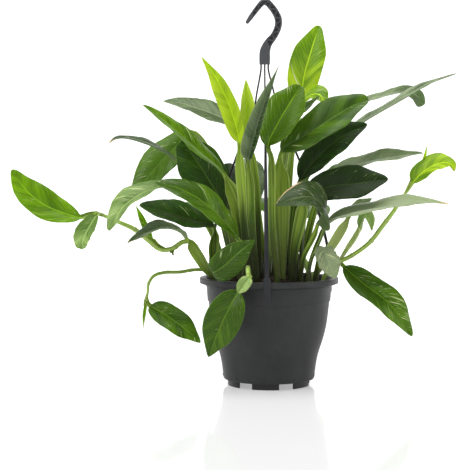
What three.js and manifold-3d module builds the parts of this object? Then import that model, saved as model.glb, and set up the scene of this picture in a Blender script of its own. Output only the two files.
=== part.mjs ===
// A potted cobra philodendron in a plastic hanging pot, standing on its feet.
// Millimetres, +Z up. The view from the front looks along +Y.
import * as THREE from "three";
import { mergeVertices } from "three/addons/utils/BufferGeometryUtils.js";
import Module from "manifold-3d";

const wasm = await Module();
wasm.setup();

// Pot: a 15 cm nursery pot on six short feet
const RIM_RADIUS = 75;
const POT_HEIGHT = 116;
const LIP_HEIGHT = 6;
const BASE_TOP = 8.6;
const FOOT_COUNT = 6;
const FOOT_HEIGHT = 6.8;
const FOOT_RADIUS = 44.8;
const FOOT_WALL = 2.6;
const FOOT_NOTCH_DEGREES = 22;
const FRONT_FOOT_DEGREES = -96.2;
const DRAIN_RADIUS = 4;
const DRAIN_CIRCLE = 36;
const POT_SIDES = 32;

// Soil: fills the pot and rises a little towards the middle
const GAP = 0.3;
const SOIL_EDGE = 106;
const SOIL_CROWN = 10;
const SOIL_RADIUS = 64.6;
const ROOT_DEPTH = 12;
const ROOT_PROUD = 1.5;
const ROOT_RADIUS = 3;
const HOLE_SIDES = 6;

// Holes in the soil are many-sided, and clear the stalks at the middle of each side
const HOLE_RADIUS = (ROOT_RADIUS * 1.04 + GAP) / Math.cos(Math.PI / HOLE_SIDES);

// Hanger: a ribbed hook on a block that holds three thin arms
const HANGER_X = -4.9;
const ROD_STRAIGHT = 5;
const HOOK_THICKNESS = 7;
const POCKET_DEPTH = 2.2;
const BLOCK_BOTTOM = 344.6;
const SOCKET_DEPTH = 4;
const SOCKET_CLEARANCE = 0.5;
const ARM_RADIUS = 0.85;
const ARM_SPREAD = 2.3;
const ARM_STEPS = 12;
const TAB_WIDTH = 7;
const TAB_THICKNESS = 2;
const TAB_TOP = 121.5;
const TAB_BOTTOM = 97;
const TAB_CLEARANCE = 0.4;

// Leaves: thickness at the rib and at the edge, and how finely they are split
const RIB_THICKNESS = 1.5;
const EDGE_THICKNESS = 0.7;
const ACROSS = 5;
const SUBSTEPS = 12;
const STALK_STEPS = [0, 0.2, 0.5, 0.82];
const BLADE_STEPS = [0, 0.06, 0.18, 0.35, 0.54, 0.73, 0.9, 1];
const SHEATH_STEPS = [0, 0.2, 0.5, 0.8, 1];
const STEM_STEP = 15;
const WING_WIDTH = 4.5;
const WING_EDGE = 0.8;
const STALK_NECK = 2.7;
const TIP_WIDTH = 0.45;
const TIP_DRAW = 0.28;

// Every leaf is laid out as it is seen from straight in front. A point is [across, up, back]:
// across and up are measured from the pot's foot on the upright plane through its axis,
// and back is how far behind that axis the point lies, along the line of sight.
const EYE = new THREE.Vector3(-36.7, -1446, 237);
const AIM = new THREE.Vector3(-36.7, 0, 161.5);
const SIGHT = AIM.clone().sub(EYE).normalize();
const RISE = new THREE.Vector3(0, -SIGHT.z, SIGHT.y);

function at([across, up, back]) {
  const seen = AIM.clone().addScaledVector(RISE, up - AIM.z);
  seen.x += across - AIM.x;
  const ray = seen.sub(EYE);
  return EYE.clone().addScaledVector(ray, (back - EYE.y) / ray.y);
}

// A leaf stands in the soil at foot [across, back], rises along stalk and spreads along blade.
// width is the blade's full width, fold the angle that each half is raised by, in degrees,
// belly where along the blade it is widest, point how drawn out its tip is, wing half the
// width of the winged stalk, heel the way that the stalk's channel looks lower down,
// and face the way that its upper side looks at mid-blade: [right, back, up].
const LEAVES = [
  {
    name: "leaf_young_tall", tone: "young", foot: [-17, -16], width: 23, fold: 26, belly: 0.36,
    wing: 5.6,
    stalk: [[-24, 150, -15], [-26, 172, -16], [-28, 199, -18], [-31, 237, -20]],
    blade: [[-32, 262, -22], [-41, 296, -28], [-56, 329, -36], [-72.6, 353.6, -44]],
    face: [-0.3, -0.9, 0.1],
  },
  {
    name: "leaf_spear_centre", tone: "young", foot: [-11, -4], width: 20, fold: 36, belly: 0.4,
    wing: 5,
    stalk: [[-12, 156, -2], [-14, 205, -2], [-19, 245, -4]],
    blade: [[-23.5, 268, -6], [-24, 290, -8], [-25, 329, -12]],
    face: [0.2, -0.9, 0],
  },
  {
    name: "leaf_folded_centre", tone: "mature", foot: [-14, -28], width: 36, fold: 36, belly: 0.28,
    point: 2, wing: 5,
    stalk: [[-16.5, 150, -27], [-19, 180, -28], [-20, 215, -31]],
    blade: [[-21.5, 243, -41], [-14, 275, -54], [-3, 309, -57], [12, 348, -54]],
    face: [-0.15, -0.95, 0.2],
  },
  {
    name: "leaf_bright_centre", tone: "fresh", foot: [8, -36], width: 41, fold: 12, belly: 0.55,
    point: 0.95, wing: 4.2,
    stalk: [[5, 150, -35], [3.4, 185, -36.5], [3.4, 228, -39], [2.4, 246, -42]],
    blade: [[-1, 258, -45], [10, 283, -45], [22, 303, -43], [34, 323, -40]],
    face: [-0.2, -0.9, 0.3],
  },
  {
    name: "leaf_slender_centre", tone: "mature", foot: [10, -6], width: 24, fold: 12, belly: 0.45,
    wing: 5,
    stalk: [[10, 150, -7], [12, 200, -9], [15, 245, -12]],
    blade: [[19, 272, -16], [33, 291, -21], [54, 311, -26]],
    face: [-0.45, -0.35, 0.75],
  },
  {
    name: "leaf_curled_small", tone: "young", foot: [12, 10], width: 23, fold: 14, belly: 0.5,
    stalk: [[13, 156, 10], [18, 221, 10], [26, 275, 4]],
    blade: [[33, 300, 0], [44, 312, -6], [54, 313, -12], [62, 303, -18]],
    face: [0.1, -0.7, 0.65],
  },
  {
    name: "leaf_tall_bright", tone: "young", foot: [20, 23], width: 38, fold: 12, belly: 0.47,
    point: 0.95, wing: 5,
    stalk: [[20, 160, 25], [21, 220, 28], [26, 275, 24]],
    blade: [[34, 305, 18], [38, 334, 14], [46, 362, 12], [54, 387.5, 14]],
    face: [-0.15, -0.95, 0.15],
  },
  {
    name: "leaf_large_right", tone: "mature", foot: [14, -22], width: 43, fold: 13, belly: 0.56,
    point: 0.9, wing: 10,
    heel: [0.1, -1, 0],
    stalk: [[14, 156, -22], [13, 195, -24], [12.5, 232, -29]],
    blade: [[14, 252, -35], [38, 268, -43], [64, 285, -50], [88, 300, -54], [107, 309, -55]],
    face: [-0.3, -0.8, 0.5],
  },
  {
    name: "leaf_dark_right", tone: "mature", foot: [23, -9], width: 38, fold: 14, belly: 0.5, wing: 6,
    stalk: [[25, 150, -8], [29, 190, -8]],
    blade: [[34, 221, -6], [51, 244, -8], [78, 267, -16], [106, 281, -26]],
    face: [-0.35, -0.8, 0.4],
  },
  {
    name: "leaf_long_edge_right", tone: "grey", foot: [33, 16], width: 33, fold: 8, belly: 0.45,
    stalk: [[28, 165, 13], [37, 215, 9], [62, 256, 5]],
    blade: [[88, 276, 2], [107, 288, 3], [148, 311, 5], [170, 324, 5], [202, 336, 6]],
    face: [-0.46, -0.16, 0.86],
  },
  {
    name: "leaf_drooping_right", tone: "grey", foot: [30, 29], width: 25, fold: 10, belly: 0.62,
    point: 0.7, wing: 4,
    stalk: [[31, 175, 28], [44, 240, 32], [74, 286, 38]],
    blade: [[96, 303, 42], [127, 313, 44], [148, 316, 45], [159, 312, 44], [164, 300, 42]],
    face: [0.1, -0.3, 0.95],
  },
  {
    name: "leaf_grey_right", tone: "grey", foot: [34, 4], width: 34, fold: 12, belly: 0.48, wing: 5,
    stalk: [[36, 160, 6], [40, 190, 8], [55, 220, 8]],
    blade: [[70, 232, 8], [98, 239, 6], [133, 246, 4], [166, 250, 2]],
    face: [-0.1, -0.36, 0.9],
  },
  {
    name: "leaf_dark_low_right", tone: "mature", foot: [25, -21], width: 42, fold: 12, belly: 0.5,
    wing: 6.5,
    heel: [0.15, -1, 0],
    stalk: [[28, 150, -24], [35, 183, -26]],
    blade: [[40, 204, -23], [61, 213, -29], [93, 217, -37], [128.6, 222, -42]],
    face: [-0.05, -0.85, 0.5],
  },
  {
    name: "leaf_folded_front", tone: "grey", foot: [34, -21], width: 47, fold: 10, belly: 0.4, wing: 5,
    stalk: [[37, 137, -24], [46, 156, -31]],
    blade: [[54, 174, -43], [60, 190, -60], [46, 202, -67], [26, 201, -71], [7, 193, -72]],
    face: [-0.1, -0.6, 0.8],
  },
  {
    name: "leaf_long_low_right", tone: "grey", foot: [40, -33], width: 36, fold: 10, belly: 0.45,
    stalk: [[44.5, 133, -33], [54, 156, -36]],
    blade: [[63, 175, -38], [87, 185, -41], [125, 192, -44], [159, 198, -46], [194, 195, -48]],
    face: [-0.1, -0.3, 0.95],
  },
  {
    name: "leaf_small_pale_right", tone: "grey", foot: [48, -8], width: 17, fold: 14, belly: 0.45,
    wing: 5.5,
    heel: [-0.3, -1, 0.1],
    stalk: [[58, 130, -8], [66, 146, -4], [75, 161, 0], [83, 174, 4]],
    blade: [[87, 182, 7], [97, 192, 10], [111, 201, 12]],
    face: [-0.45, -0.6, 0.6],
  },
  {
    name: "leaf_wrinkled_right", tone: "grey", foot: [49, -24], width: 25, fold: 8, belly: 0.5,
    point: 0.9, wing: 4,
    stalk: [[54, 130, -25], [57, 143, -30]],
    blade: [[59, 149, -38], [61, 140, -50], [66, 128, -58], [71, 115, -63]],
    face: [0.1, -0.75, 0.55],
  },
  {
    name: "leaf_rim_left", tone: "streaked", foot: [-46, -34], width: 31, fold: 9, belly: 0.36, wing: 4,
    stalk: [[-52, 124, -42], [-58, 127, -50]],
    blade: [[-61, 121, -60], [-50, 127, -69], [-37, 139, -73], [-25, 149, -74], [-15, 156, -73]],
    face: [0.2, -0.95, 0.15],
  },
  {
    name: "leaf_big_left", tone: "streaked", foot: [-27, -36], width: 38, fold: 11, belly: 0.5, wing: 6,
    stalk: [[-28, 134, -38], [-30, 148, -42]],
    blade: [[-34, 158, -46], [-50, 178, -52], [-72, 198, -58], [-98, 212, -60], [-123, 218, -60]],
    face: [0.35, -0.62, 0.7],
  },
  {
    name: "leaf_pale_left", tone: "pale", foot: [-31, -9], width: 33, fold: 20, belly: 0.5,
    point: 0.95,
    stalk: [[-38, 150, -10], [-50, 188, -14], [-80, 212, -24], [-100, 218, -33]],
    blade: [[-112, 216, -38], [-136, 207, -48], [-157, 192, -57], [-173, 166, -60]],
    face: [-0.5, -0.62, 0.6],
  },
  {
    name: "leaf_dark_left", tone: "mature", foot: [-51, 17], width: 40, fold: 10, belly: 0.5,
    wing: 5.5,
    heel: [0, -1, 0],
    stalk: [[-57, 128, 11], [-60, 142, 6], [-59, 160, 2]],
    blade: [[-60, 171, -2], [-80, 178, -6], [-112, 187, -12], [-140, 194, -16]],
    face: [0.1, -0.6, 0.8],
  },
  {
    name: "leaf_broad_left", tone: "mature", foot: [-34, 9], width: 48, fold: 10, belly: 0.62,
    point: 0.8, wing: 5.5,
    stalk: [[-37, 150, 9], [-40, 172, 8]],
    blade: [[-46, 190, 7], [-65, 221, 5], [-80, 244, 2], [-94, 264, -2]],
    face: [-0.1, -0.95, 0.2],
  },
  {
    name: "leaf_long_upper_left", tone: "fresh", foot: [-22, -5], width: 31, fold: 13, belly: 0.45,
    wing: 7.5,
    heel: [0.15, -1, 0],
    stalk: [[-28, 155, -4], [-36, 195, -8], [-46, 221, -14]],
    blade: [[-50, 230, -17], [-74, 251, -25], [-98, 272, -31], [-118, 289, -35], [-136, 302, -38]],
    face: [0.45, -0.45, 0.76],
  },
  {
    name: "leaf_narrow_left", tone: "grey", foot: [-38, 22], width: 25, fold: 10, belly: 0.45, wing: 4,
    stalk: [[-45, 160, 22], [-60, 200, 22], [-85, 231, 18]],
    blade: [[-101, 244, 14], [-123, 257, 9], [-152, 266, 2], [-164, 266, -1], [-173, 261, -3]],
    face: [-0.2, -0.26, 0.93],
  },
  {
    name: "leaf_rear_left", tone: "mature", foot: [-28, 33], width: 43, fold: 11, belly: 0.5,
    stalk: [[-40, 180, 44], [-60, 240, 60], [-74, 267, 56]],
    blade: [[-84, 273, 52], [-101, 257, 46], [-118, 239, 42], [-134, 220, 39], [-148, 202, 38]],
    face: [-0.3, -0.8, 0.5],
  },
  {
    name: "leaf_grey_upper_left", tone: "grey", foot: [-8, 10], width: 34, fold: 11, belly: 0.42,
    wing: 5,
    stalk: [[-14, 162, 10], [-19, 215, 10], [-25, 253, 10]],
    blade: [[-33, 277, 12], [-53, 289, 16], [-74, 297, 20], [-96, 304, 24], [-114, 306, 27]],
    face: [0.2, -0.6, 0.8],
  },
  {
    name: "leaf_arching_left", tone: "grey", foot: [-54, -20], width: 29, fold: 14, belly: 0.42,
    wing: 5.5,
    heel: [-0.3, -1, 0.1],
    stalk: [[-67, 124, -24], [-77, 139, -27], [-86, 154, -29]],
    blade: [[-89, 160, -31], [-98, 167, -36], [-114, 170, -43], [-134, 163, -50], [-153, 153, -54]],
    face: [-0.15, -0.33, 0.93],
  },
  {
    name: "leaf_inner_dark", tone: "mature", foot: [-19, 22], width: 29, fold: 10, belly: 0.55,
    point: 0.9,
    stalk: [[-24, 150, 24], [-30, 170, 28]],
    blade: [[-34, 184, 32], [-38, 206, 40], [-42, 226, 50], [-45, 239, 62]],
    face: [0.1, -0.85, 0.5],
  },
  {
    name: "leaf_inner_grey", tone: "grey", foot: [-6, 28], width: 29, fold: 10, belly: 0.5,
    stalk: [[-9, 156, 32], [-12, 180, 40]],
    blade: [[-14, 196, 50], [-17, 218, 66], [-21, 236, 88], [-25, 244, 116]],
    face: [0, -0.6, 0.8],
  },
  {
    name: "leaf_back_high_right", tone: "fresh", foot: [6, 30], width: 37, fold: 12, belly: 0.48,
    stalk: [[12, 170, 34], [20, 220, 42]],
    blade: [[27, 256, 56], [36, 272, 82], [48, 280, 114], [60, 272, 146]],
    face: [0.1, -0.35, 0.95],
  },
  {
    name: "leaf_back_right", tone: "mature", foot: [36, 40], width: 39, fold: 12, belly: 0.48,
    stalk: [[42, 160, 46], [50, 190, 54]],
    blade: [[58, 210, 66], [74, 224, 88], [90, 230, 112], [106, 222, 138]],
    face: [0.1, -0.2, 0.95],
  },
  {
    name: "leaf_back_left", tone: "mature", foot: [-38, 44], width: 38, fold: 12, belly: 0.48,
    stalk: [[-46, 160, 54], [-52, 186, 64]],
    blade: [[-58, 208, 76], [-68, 226, 100], [-78, 234, 128], [-88, 226, 158]],
    face: [-0.1, -0.2, 0.95],
  },
  {
    name: "leaf_back_low_left", tone: "streaked", foot: [-50, 33], width: 34, fold: 12, belly: 0.46,
    stalk: [[-54, 142, 48], [-62, 164, 62]],
    blade: [[-72, 179, 72], [-86, 190, 88], [-98, 192, 112], [-108, 180, 138]],
    face: [-0.15, -0.1, 0.95],
  },
  {
    name: "leaf_back_low_right", tone: "streaked", foot: [24, 44], width: 35, fold: 12, belly: 0.46,
    stalk: [[28, 140, 54], [32, 162, 66]],
    blade: [[36, 178, 80], [44, 190, 104], [52, 190, 130], [60, 178, 156]],
    face: [0.1, -0.1, 0.95],
  },
  {
    name: "leaf_back_middle", tone: "fresh", foot: [2, 46], width: 36, fold: 12, belly: 0.46,
    stalk: [[3, 140, 56], [2, 166, 66]],
    blade: [[0, 184, 82], [-2, 198, 108], [-5, 200, 136], [-8, 188, 166]],
    face: [0, -0.1, 0.95],
  },
  {
    name: "leaf_back_hanging_left", tone: "mature", foot: [-20, 52], width: 33, fold: 11, belly: 0.45,
    stalk: [[-23, 129, 59], [-28, 136, 76], [-32, 131, 92]],
    blade: [[-34, 120, 102], [-36, 98, 112], [-34, 74, 114], [-30, 50, 108]],
    face: [-0.15, 0.95, 0.25],
  },
  {
    name: "leaf_back_hanging_right", tone: "fresh", foot: [20, 54], width: 32, fold: 11, belly: 0.45,
    stalk: [[23, 129, 60], [31, 136, 76], [38, 132, 90]],
    blade: [[42, 122, 99], [46, 102, 109], [46, 80, 112], [42, 58, 107]],
    face: [0.15, 0.95, 0.25],
  },
];

// A trailing stem leaves the soil at foot and runs along path. Its leaves, sheaths and root
// stubs have a stalk that starts inside it.
const STEMS = [
  {
    name: "stem_trailing_left", foot: [-58, -5], radius: 2.6,
    path: [
      [-66, 127, -8], [-75, 143, -8], [-84, 154, -8], [-93, 154, -10], [-104, 147, -14],
      [-117, 146, -17], [-128, 154, -20], [-144, 167, -24], [-162, 175.5, -30], [-177, 182, -33],
      [-187, 186, -35],
    ],
    leaves: [
      {
        tone: "young", width: 35, fold: 9, belly: 0.52, point: 1.2,
        stalk: [[-185, 185.6, -34.5], [-195, 183.5, -37]],
        blade: [[-203, 181, -39], [-223, 186, -43], [-244, 195, -46], [-264, 212, -48],
          [-277.5, 232, -48]],
        face: [0.15, -0.85, 0.5],
      },
      {
        tone: "pale", width: 24, fold: 16, belly: 0.62, point: 0.5,
        stalk: [[-180, 183.2, -33.6], [-184, 185, -40]],
        blade: [[-187, 182, -45], [-193, 172, -50], [-200, 158, -53], [-202, 146, -58]],
        face: [-0.25, -0.9, 0.3],
      },
      {
        tone: "young", width: 10, fold: 38, belly: 0.25, point: 0.9,
        wing: 4,
        stalk: [[-113, 146.3, -16], [-122, 151, -19]],
        blade: [[-127, 158, -20], [-136, 178, -20], [-143.5, 193, -18]],
        face: [-0.3, -0.9, 0.2],
      },
      {
        tone: "root", width: 2.6, fold: 20, belly: 0.3, point: 1,
        stalk: [[-106, 147, -14], [-104.5, 143.5, -16]],
        blade: [[-104, 142, -17], [-103, 139, -19]],
        face: [0, -1, 0],
      },
    ],
  },
  {
    name: "stem_hanging_left", foot: [-57, 7], radius: 1.9,
    path: [
      [-66, 123, 4], [-80, 124, -2], [-96, 121.6, -9], [-113, 121, -15], [-124, 117.5, -19],
      [-129.5, 110, -21], [-131, 99, -22], [-132, 90, -22.5],
    ],
    leaves: [
      {
        tone: "streaked", width: 29, fold: 9, belly: 0.4, point: 1.05,
        stalk: [[-131.8, 94, -22.2], [-131, 88, -23.5]],
        blade: [[-128, 85, -25], [-111, 75, -30], [-92, 61, -35], [-74, 45.5, -39]],
        face: [0.25, -0.85, 0.45],
      },
      {
        tone: "young", width: 4.6, fold: 30, belly: 0.2, point: 1.2,
        stalk: [[-131.5, 97, -22], [-132.6, 88, -21]],
        blade: [[-133, 84, -21], [-134.6, 73, -20.5], [-135.6, 61, -20]],
        face: [-0.4, -0.9, 0],
      },
    ],
  },
  {
    name: "stem_hanging_front", foot: [-21, -51], radius: 2.1,
    path: [[-22.5, 126, -62], [-23, 124, -73], [-23, 117, -80], [-26, 110, -82.5]],
    leaves: [
      {
        tone: "sheath", width: 15, fold: 30, belly: 0.45, point: 0.8,
        stalk: [[-23, 119, -79], [-21.5, 117, -81]],
        blade: [[-22, 115, -82.5], [-27, 108, -86.5], [-33.5, 99, -87]],
        face: [-0.1, -1, 0.1],
      },
      {
        tone: "streaked", width: 39, fold: 13, belly: 0.42, point: 1.05,
        stalk: [[-24.5, 113, -82], [-29, 105.5, -82.5]],
        blade: [[-33, 101, -82.5], [-43, 83, -84], [-54, 59, -81], [-65.5, 30, -76]],
        face: [-0.1, -1, 0.1],
      },
    ],
  },
  {
    name: "stem_trailing_right", foot: [58, -13], radius: 2.5,
    path: [
      [66, 127, -13], [73, 132, -13], [83, 136, -13], [98, 145, -14], [110, 155, -14],
      [123, 172, -14], [135, 188, -14], [142, 199, -13], [150, 211, -12],
    ],
    leaves: [
      {
        tone: "mature", width: 35, fold: 11, belly: 0.45, point: 1.05,
        stalk: [[71, 130.8, -13], [77, 130.5, -15]],
        blade: [[81, 127, -17], [102, 109, -26], [131, 86, -36], [154.5, 52.5, -41]],
        face: [0.35, -0.8, 0.45],
      },
      {
        tone: "young", width: 29, fold: 15, belly: 0.4, point: 1.05,
        stalk: [[148, 208, -12.3], [152, 214, -12]],
        blade: [[155, 218, -12], [168, 231, -14], [184, 239, -16], [196, 238, -18], [200, 230, -20]],
        face: [-0.1, -0.65, 0.75],
      },
      {
        tone: "young", width: 5, fold: 45, belly: 0.35, point: 1.1,
        stalk: [[149, 209.5, -12], [155, 221, -7]],
        blade: [[161, 231, -4], [167, 243, -3], [170.5, 258.5, -3]],
        face: [0, -1, 0],
      },
      {
        tone: "young", width: 13, fold: 34, belly: 0.4, point: 1,
        wing: 4.8,
        stalk: [[74, 132.4, -13], [84, 146, -8], [93, 159, -4]],
        blade: [[98, 170, -2], [104, 184, -3], [109, 179, -7], [111, 166, -10]],
        face: [-0.1, -0.85, 0.5],
      },
    ],
  },
];

const TONES = {
  mature: { color: 0x2f5a1c, roughness: 0.42 },
  fresh: { color: 0x4c8a1f, roughness: 0.42 },
  young: { color: 0x86b62a, roughness: 0.45 },
  streaked: { color: 0x4a7d2c, roughness: 0.42 },
  pale: { color: 0x7fa06a, roughness: 0.4 },
  grey: { color: 0x6f8362, roughness: 0.38 },
};
const STEM_FINISH = { color: 0x8cab4e, roughness: 0.5 };
const POT_FINISH = { color: 0x3c3e3e, roughness: 0.55 };
const SOIL_FINISH = { color: 0x2c211a, roughness: 0.95 };
const HANGER_FINISH = { color: 0x34363a, roughness: 0.5 };

function radians(degrees) {
  return (degrees * Math.PI) / 180;
}

// Closed solids and their cuts
function solid(geometry) {
  const bare = geometry.clone();
  bare.deleteAttribute("normal");
  bare.deleteAttribute("uv");
  const merged = mergeVertices(bare, 1e-4);
  const mesh = new wasm.Mesh({
    numProp: 3,
    vertProperties: new Float32Array(merged.attributes.position.array),
    triVerts: new Uint32Array(merged.index.array),
  });
  return new wasm.Manifold(mesh);
}

function geometryOf(manifold) {
  const mesh = manifold.getMesh();
  const geometry = new THREE.BufferGeometry();
  geometry.setAttribute("position", new THREE.BufferAttribute(mesh.vertProperties, 3));
  geometry.setIndex(new THREE.BufferAttribute(mesh.triVerts, 1));
  geometry.computeVertexNormals();
  return geometry;
}

function piece(name, geometry, finish) {
  const mesh = new THREE.Mesh(geometry, new THREE.MeshStandardMaterial({ metalness: 0, ...finish }));
  mesh.name = name;
  return mesh;
}

function turned(profile, sides) {
  const points = profile.map(([radius, z]) => new THREE.Vector2(radius, z));
  const geometry = new THREE.LatheGeometry(points, sides);
  geometry.rotateX(Math.PI / 2);
  return geometry;
}

function upright(radius, bottom, top, sides) {
  const geometry = new THREE.CylinderGeometry(radius, radius, top - bottom, sides);
  geometry.rotateX(Math.PI / 2);
  geometry.translate(0, 0, (bottom + top) / 2);
  return geometry;
}

function prism(outline, depth) {
  const shape = new THREE.Shape(outline.map(([x, y]) => new THREE.Vector2(x, y)));
  return new THREE.ExtrudeGeometry(shape, { depth, bevelEnabled: false });
}

// Pot
const OUTER_WALL = [
  [48.4, FOOT_HEIGHT], [49.3, 9.6], [50.1, 16], [51.7, 27], [54.2, 37], [58.2, 48.5], [62.2, 64],
  [64.1, 79], [65.3, 90.4], [66.3, 91.6], [67.4, 105],
];
const LIP = [
  [RIM_RADIUS - 1, POT_HEIGHT - LIP_HEIGHT],
  [RIM_RADIUS, POT_HEIGHT - LIP_HEIGHT + 1.2],
  [RIM_RADIUS, POT_HEIGHT - 1],
  [RIM_RADIUS - 1, POT_HEIGHT],
  [RIM_RADIUS - 7.4, POT_HEIGHT],
];
const INNER_WALL = [
  [66, 107], [62.5, 79], [52.6, 37.5], [47.6, BASE_TOP],
];

function potGeometry() {
  const profile = [[0, FOOT_HEIGHT], ...OUTER_WALL, ...LIP, ...INNER_WALL, [0, BASE_TOP]];
  let pot = solid(turned(profile, POT_SIDES));
  const ring = [
    [FOOT_RADIUS, 0], [FOOT_RADIUS, FOOT_HEIGHT + 1],
    [FOOT_RADIUS - FOOT_WALL, FOOT_HEIGHT + 1], [FOOT_RADIUS - FOOT_WALL, 0], [FOOT_RADIUS, 0],
  ];
  let feet = solid(turned(ring, POT_SIDES));
  for (let i = 0; i < FOOT_COUNT; i += 1) {
    const middle = radians(FRONT_FOOT_DEGREES + ((i + 0.5) * 360) / FOOT_COUNT);
    feet = feet.subtract(solid(notchGeometry(middle)));
    const drain = upright(DRAIN_RADIUS, FOOT_HEIGHT - 1, BASE_TOP + 1, HOLE_SIDES);
    drain.translate(DRAIN_CIRCLE * Math.cos(middle), DRAIN_CIRCLE * Math.sin(middle), 0);
    pot = pot.subtract(solid(drain));
  }
  return geometryOf(pot.add(feet));
}

function notchGeometry(middle) {
  const half = radians(FOOT_NOTCH_DEGREES / 2);
  const reach = FOOT_RADIUS + 4;
  const outline = [[0, 0]];
  for (const angle of [middle - half, middle, middle + half]) {
    outline.push([reach * Math.cos(angle), reach * Math.sin(angle)]);
  }
  const notch = prism(outline, FOOT_HEIGHT + 1);
  notch.translate(0, 0, -1);
  return notch;
}

// Soil
function soilHeight(x, y) {
  const share = (x * x + y * y) / (SOIL_RADIUS * SOIL_RADIUS);
  return SOIL_EDGE + SOIL_CROWN * Math.max(0, 1 - share);
}

function soilGeometry(feet) {
  const side = INNER_WALL.slice(1).reverse().map(([radius, z]) => [radius - GAP - 0.1, z]);
  side[0][1] = BASE_TOP + GAP;
  const top = [SOIL_RADIUS, 54, 36, 18].map((radius) => [radius, soilHeight(radius, 0)]);
  const profile = [[0, BASE_TOP + GAP], ...side, ...top, [0, soilHeight(0, 0)]];
  let soil = solid(turned(profile, POT_SIDES));
  for (const [x, y] of feet) {
    const height = soilHeight(x, y);
    const hole = upright(HOLE_RADIUS, height - ROOT_DEPTH - GAP, height + 8, HOLE_SIDES);
    hole.translate(x, y, 0);
    soil = soil.subtract(solid(hole));
  }
  return geometryOf(soil);
}

// Hanger: the hook's middle line from tip to block, [x, z, half width], seen from the front
const HOOK_LINE = [
  [-23.4, 389.8, 1.9], [-20, 394.6, 2.5], [-12.6, 404.4, 2.8], [-6.4, 411.2, 3.1], [-2.4, 410.8, 3.5],
  [1.8, 406.3, 3.5], [6.4, 400, 3.6], [9.6, 392.6, 3.8], [9.3, 384.6, 3.8], [5, 375, 3.7],
  [-1, 367.4, 4.4], [-4.6, 358.6, 5.6], [HANGER_X, 351, 5.8], [HANGER_X, BLOCK_BOTTOM, 5.6],
];
const POCKET_SPANS = [
  [0.09, 0.17], [0.19, 0.27], [0.29, 0.36], [0.385, 0.45], [0.47, 0.535], [0.555, 0.62],
  [0.64, 0.7], [0.72, 0.78],
];
const POCKET_SHARE = 0.62;

function hookEdge(share, side) {
  const middle = new THREE.CatmullRomCurve3(HOOK_LINE.map(([x, z]) => new THREE.Vector3(x, 0, z)));
  const place = middle.getPointAt(share);
  const along = middle.getTangentAt(share);
  const spot = middle.getUtoTmapping(share) * (HOOK_LINE.length - 1);
  const from = Math.min(Math.floor(spot), HOOK_LINE.length - 2);
  const half = THREE.MathUtils.lerp(HOOK_LINE[from][2], HOOK_LINE[from + 1][2], spot - from);
  return [place.x - along.z * half * side, place.z + along.x * half * side];
}

function hookGeometry() {
  const steps = 22;
  const left = [];
  const right = [];
  for (let i = 0; i <= steps; i += 1) {
    left.push(hookEdge(i / steps, 1));
    right.push(hookEdge(i / steps, -1));
  }
  let hook = solid(facing(prism([...left, ...right.reverse()], HOOK_THICKNESS)));
  POCKET_SPANS.forEach(([start, end], index) => {
    const side = index % 2 ? POCKET_SHARE : -POCKET_SHARE;
    const corners = [hookEdge(start, side), hookEdge(end, side), hookEdge((start + end) / 2, -side)];
    if (side < 0) corners.reverse();
    for (const face of [-1, 1]) {
      const pocket = facing(prism(corners, POCKET_DEPTH * 2));
      pocket.translate(0, (face * HOOK_THICKNESS) / 2, 0);
      hook = hook.subtract(solid(pocket));
    }
  });
  for (const arm of ARMS) {
    const [x, y] = arm.socket;
    const radius = ARM_RADIUS + SOCKET_CLEARANCE;
    const socket = upright(radius, BLOCK_BOTTOM - 1, BLOCK_BOTTOM + SOCKET_DEPTH, 8);
    socket.translate(HANGER_X + x, y, 0);
    hook = hook.subtract(solid(socket));
  }
  return geometryOf(hook);
}

// Turns an outline drawn in x and z to face the front, its thickness centred on y = 0
function facing(geometry) {
  geometry.rotateX(Math.PI / 2);
  geometry.computeBoundingBox();
  const { min, max } = geometry.boundingBox;
  geometry.translate(0, -(min.y + max.y) / 2, 0);
  return geometry;
}

// Arms: each leaves its socket [right, back] in the block, and bows out and down, growing wider,
// to a flat tab that clips over the rim. The bow is [height, distance from the middle].
const ARMS = [
  { name: "hanger_arm_front", degrees: -93, socket: [0, -1.9] },
  { name: "hanger_arm_right", degrees: 27, socket: [3.9, 1] },
  { name: "hanger_arm_left", degrees: 147, socket: [-3.9, 1] },
];
const ARM_BOW = [[315, 10.5], [298, 14.5], [243, 40], [205, 56], [166, 69.5], [136, 75.6]];

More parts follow.
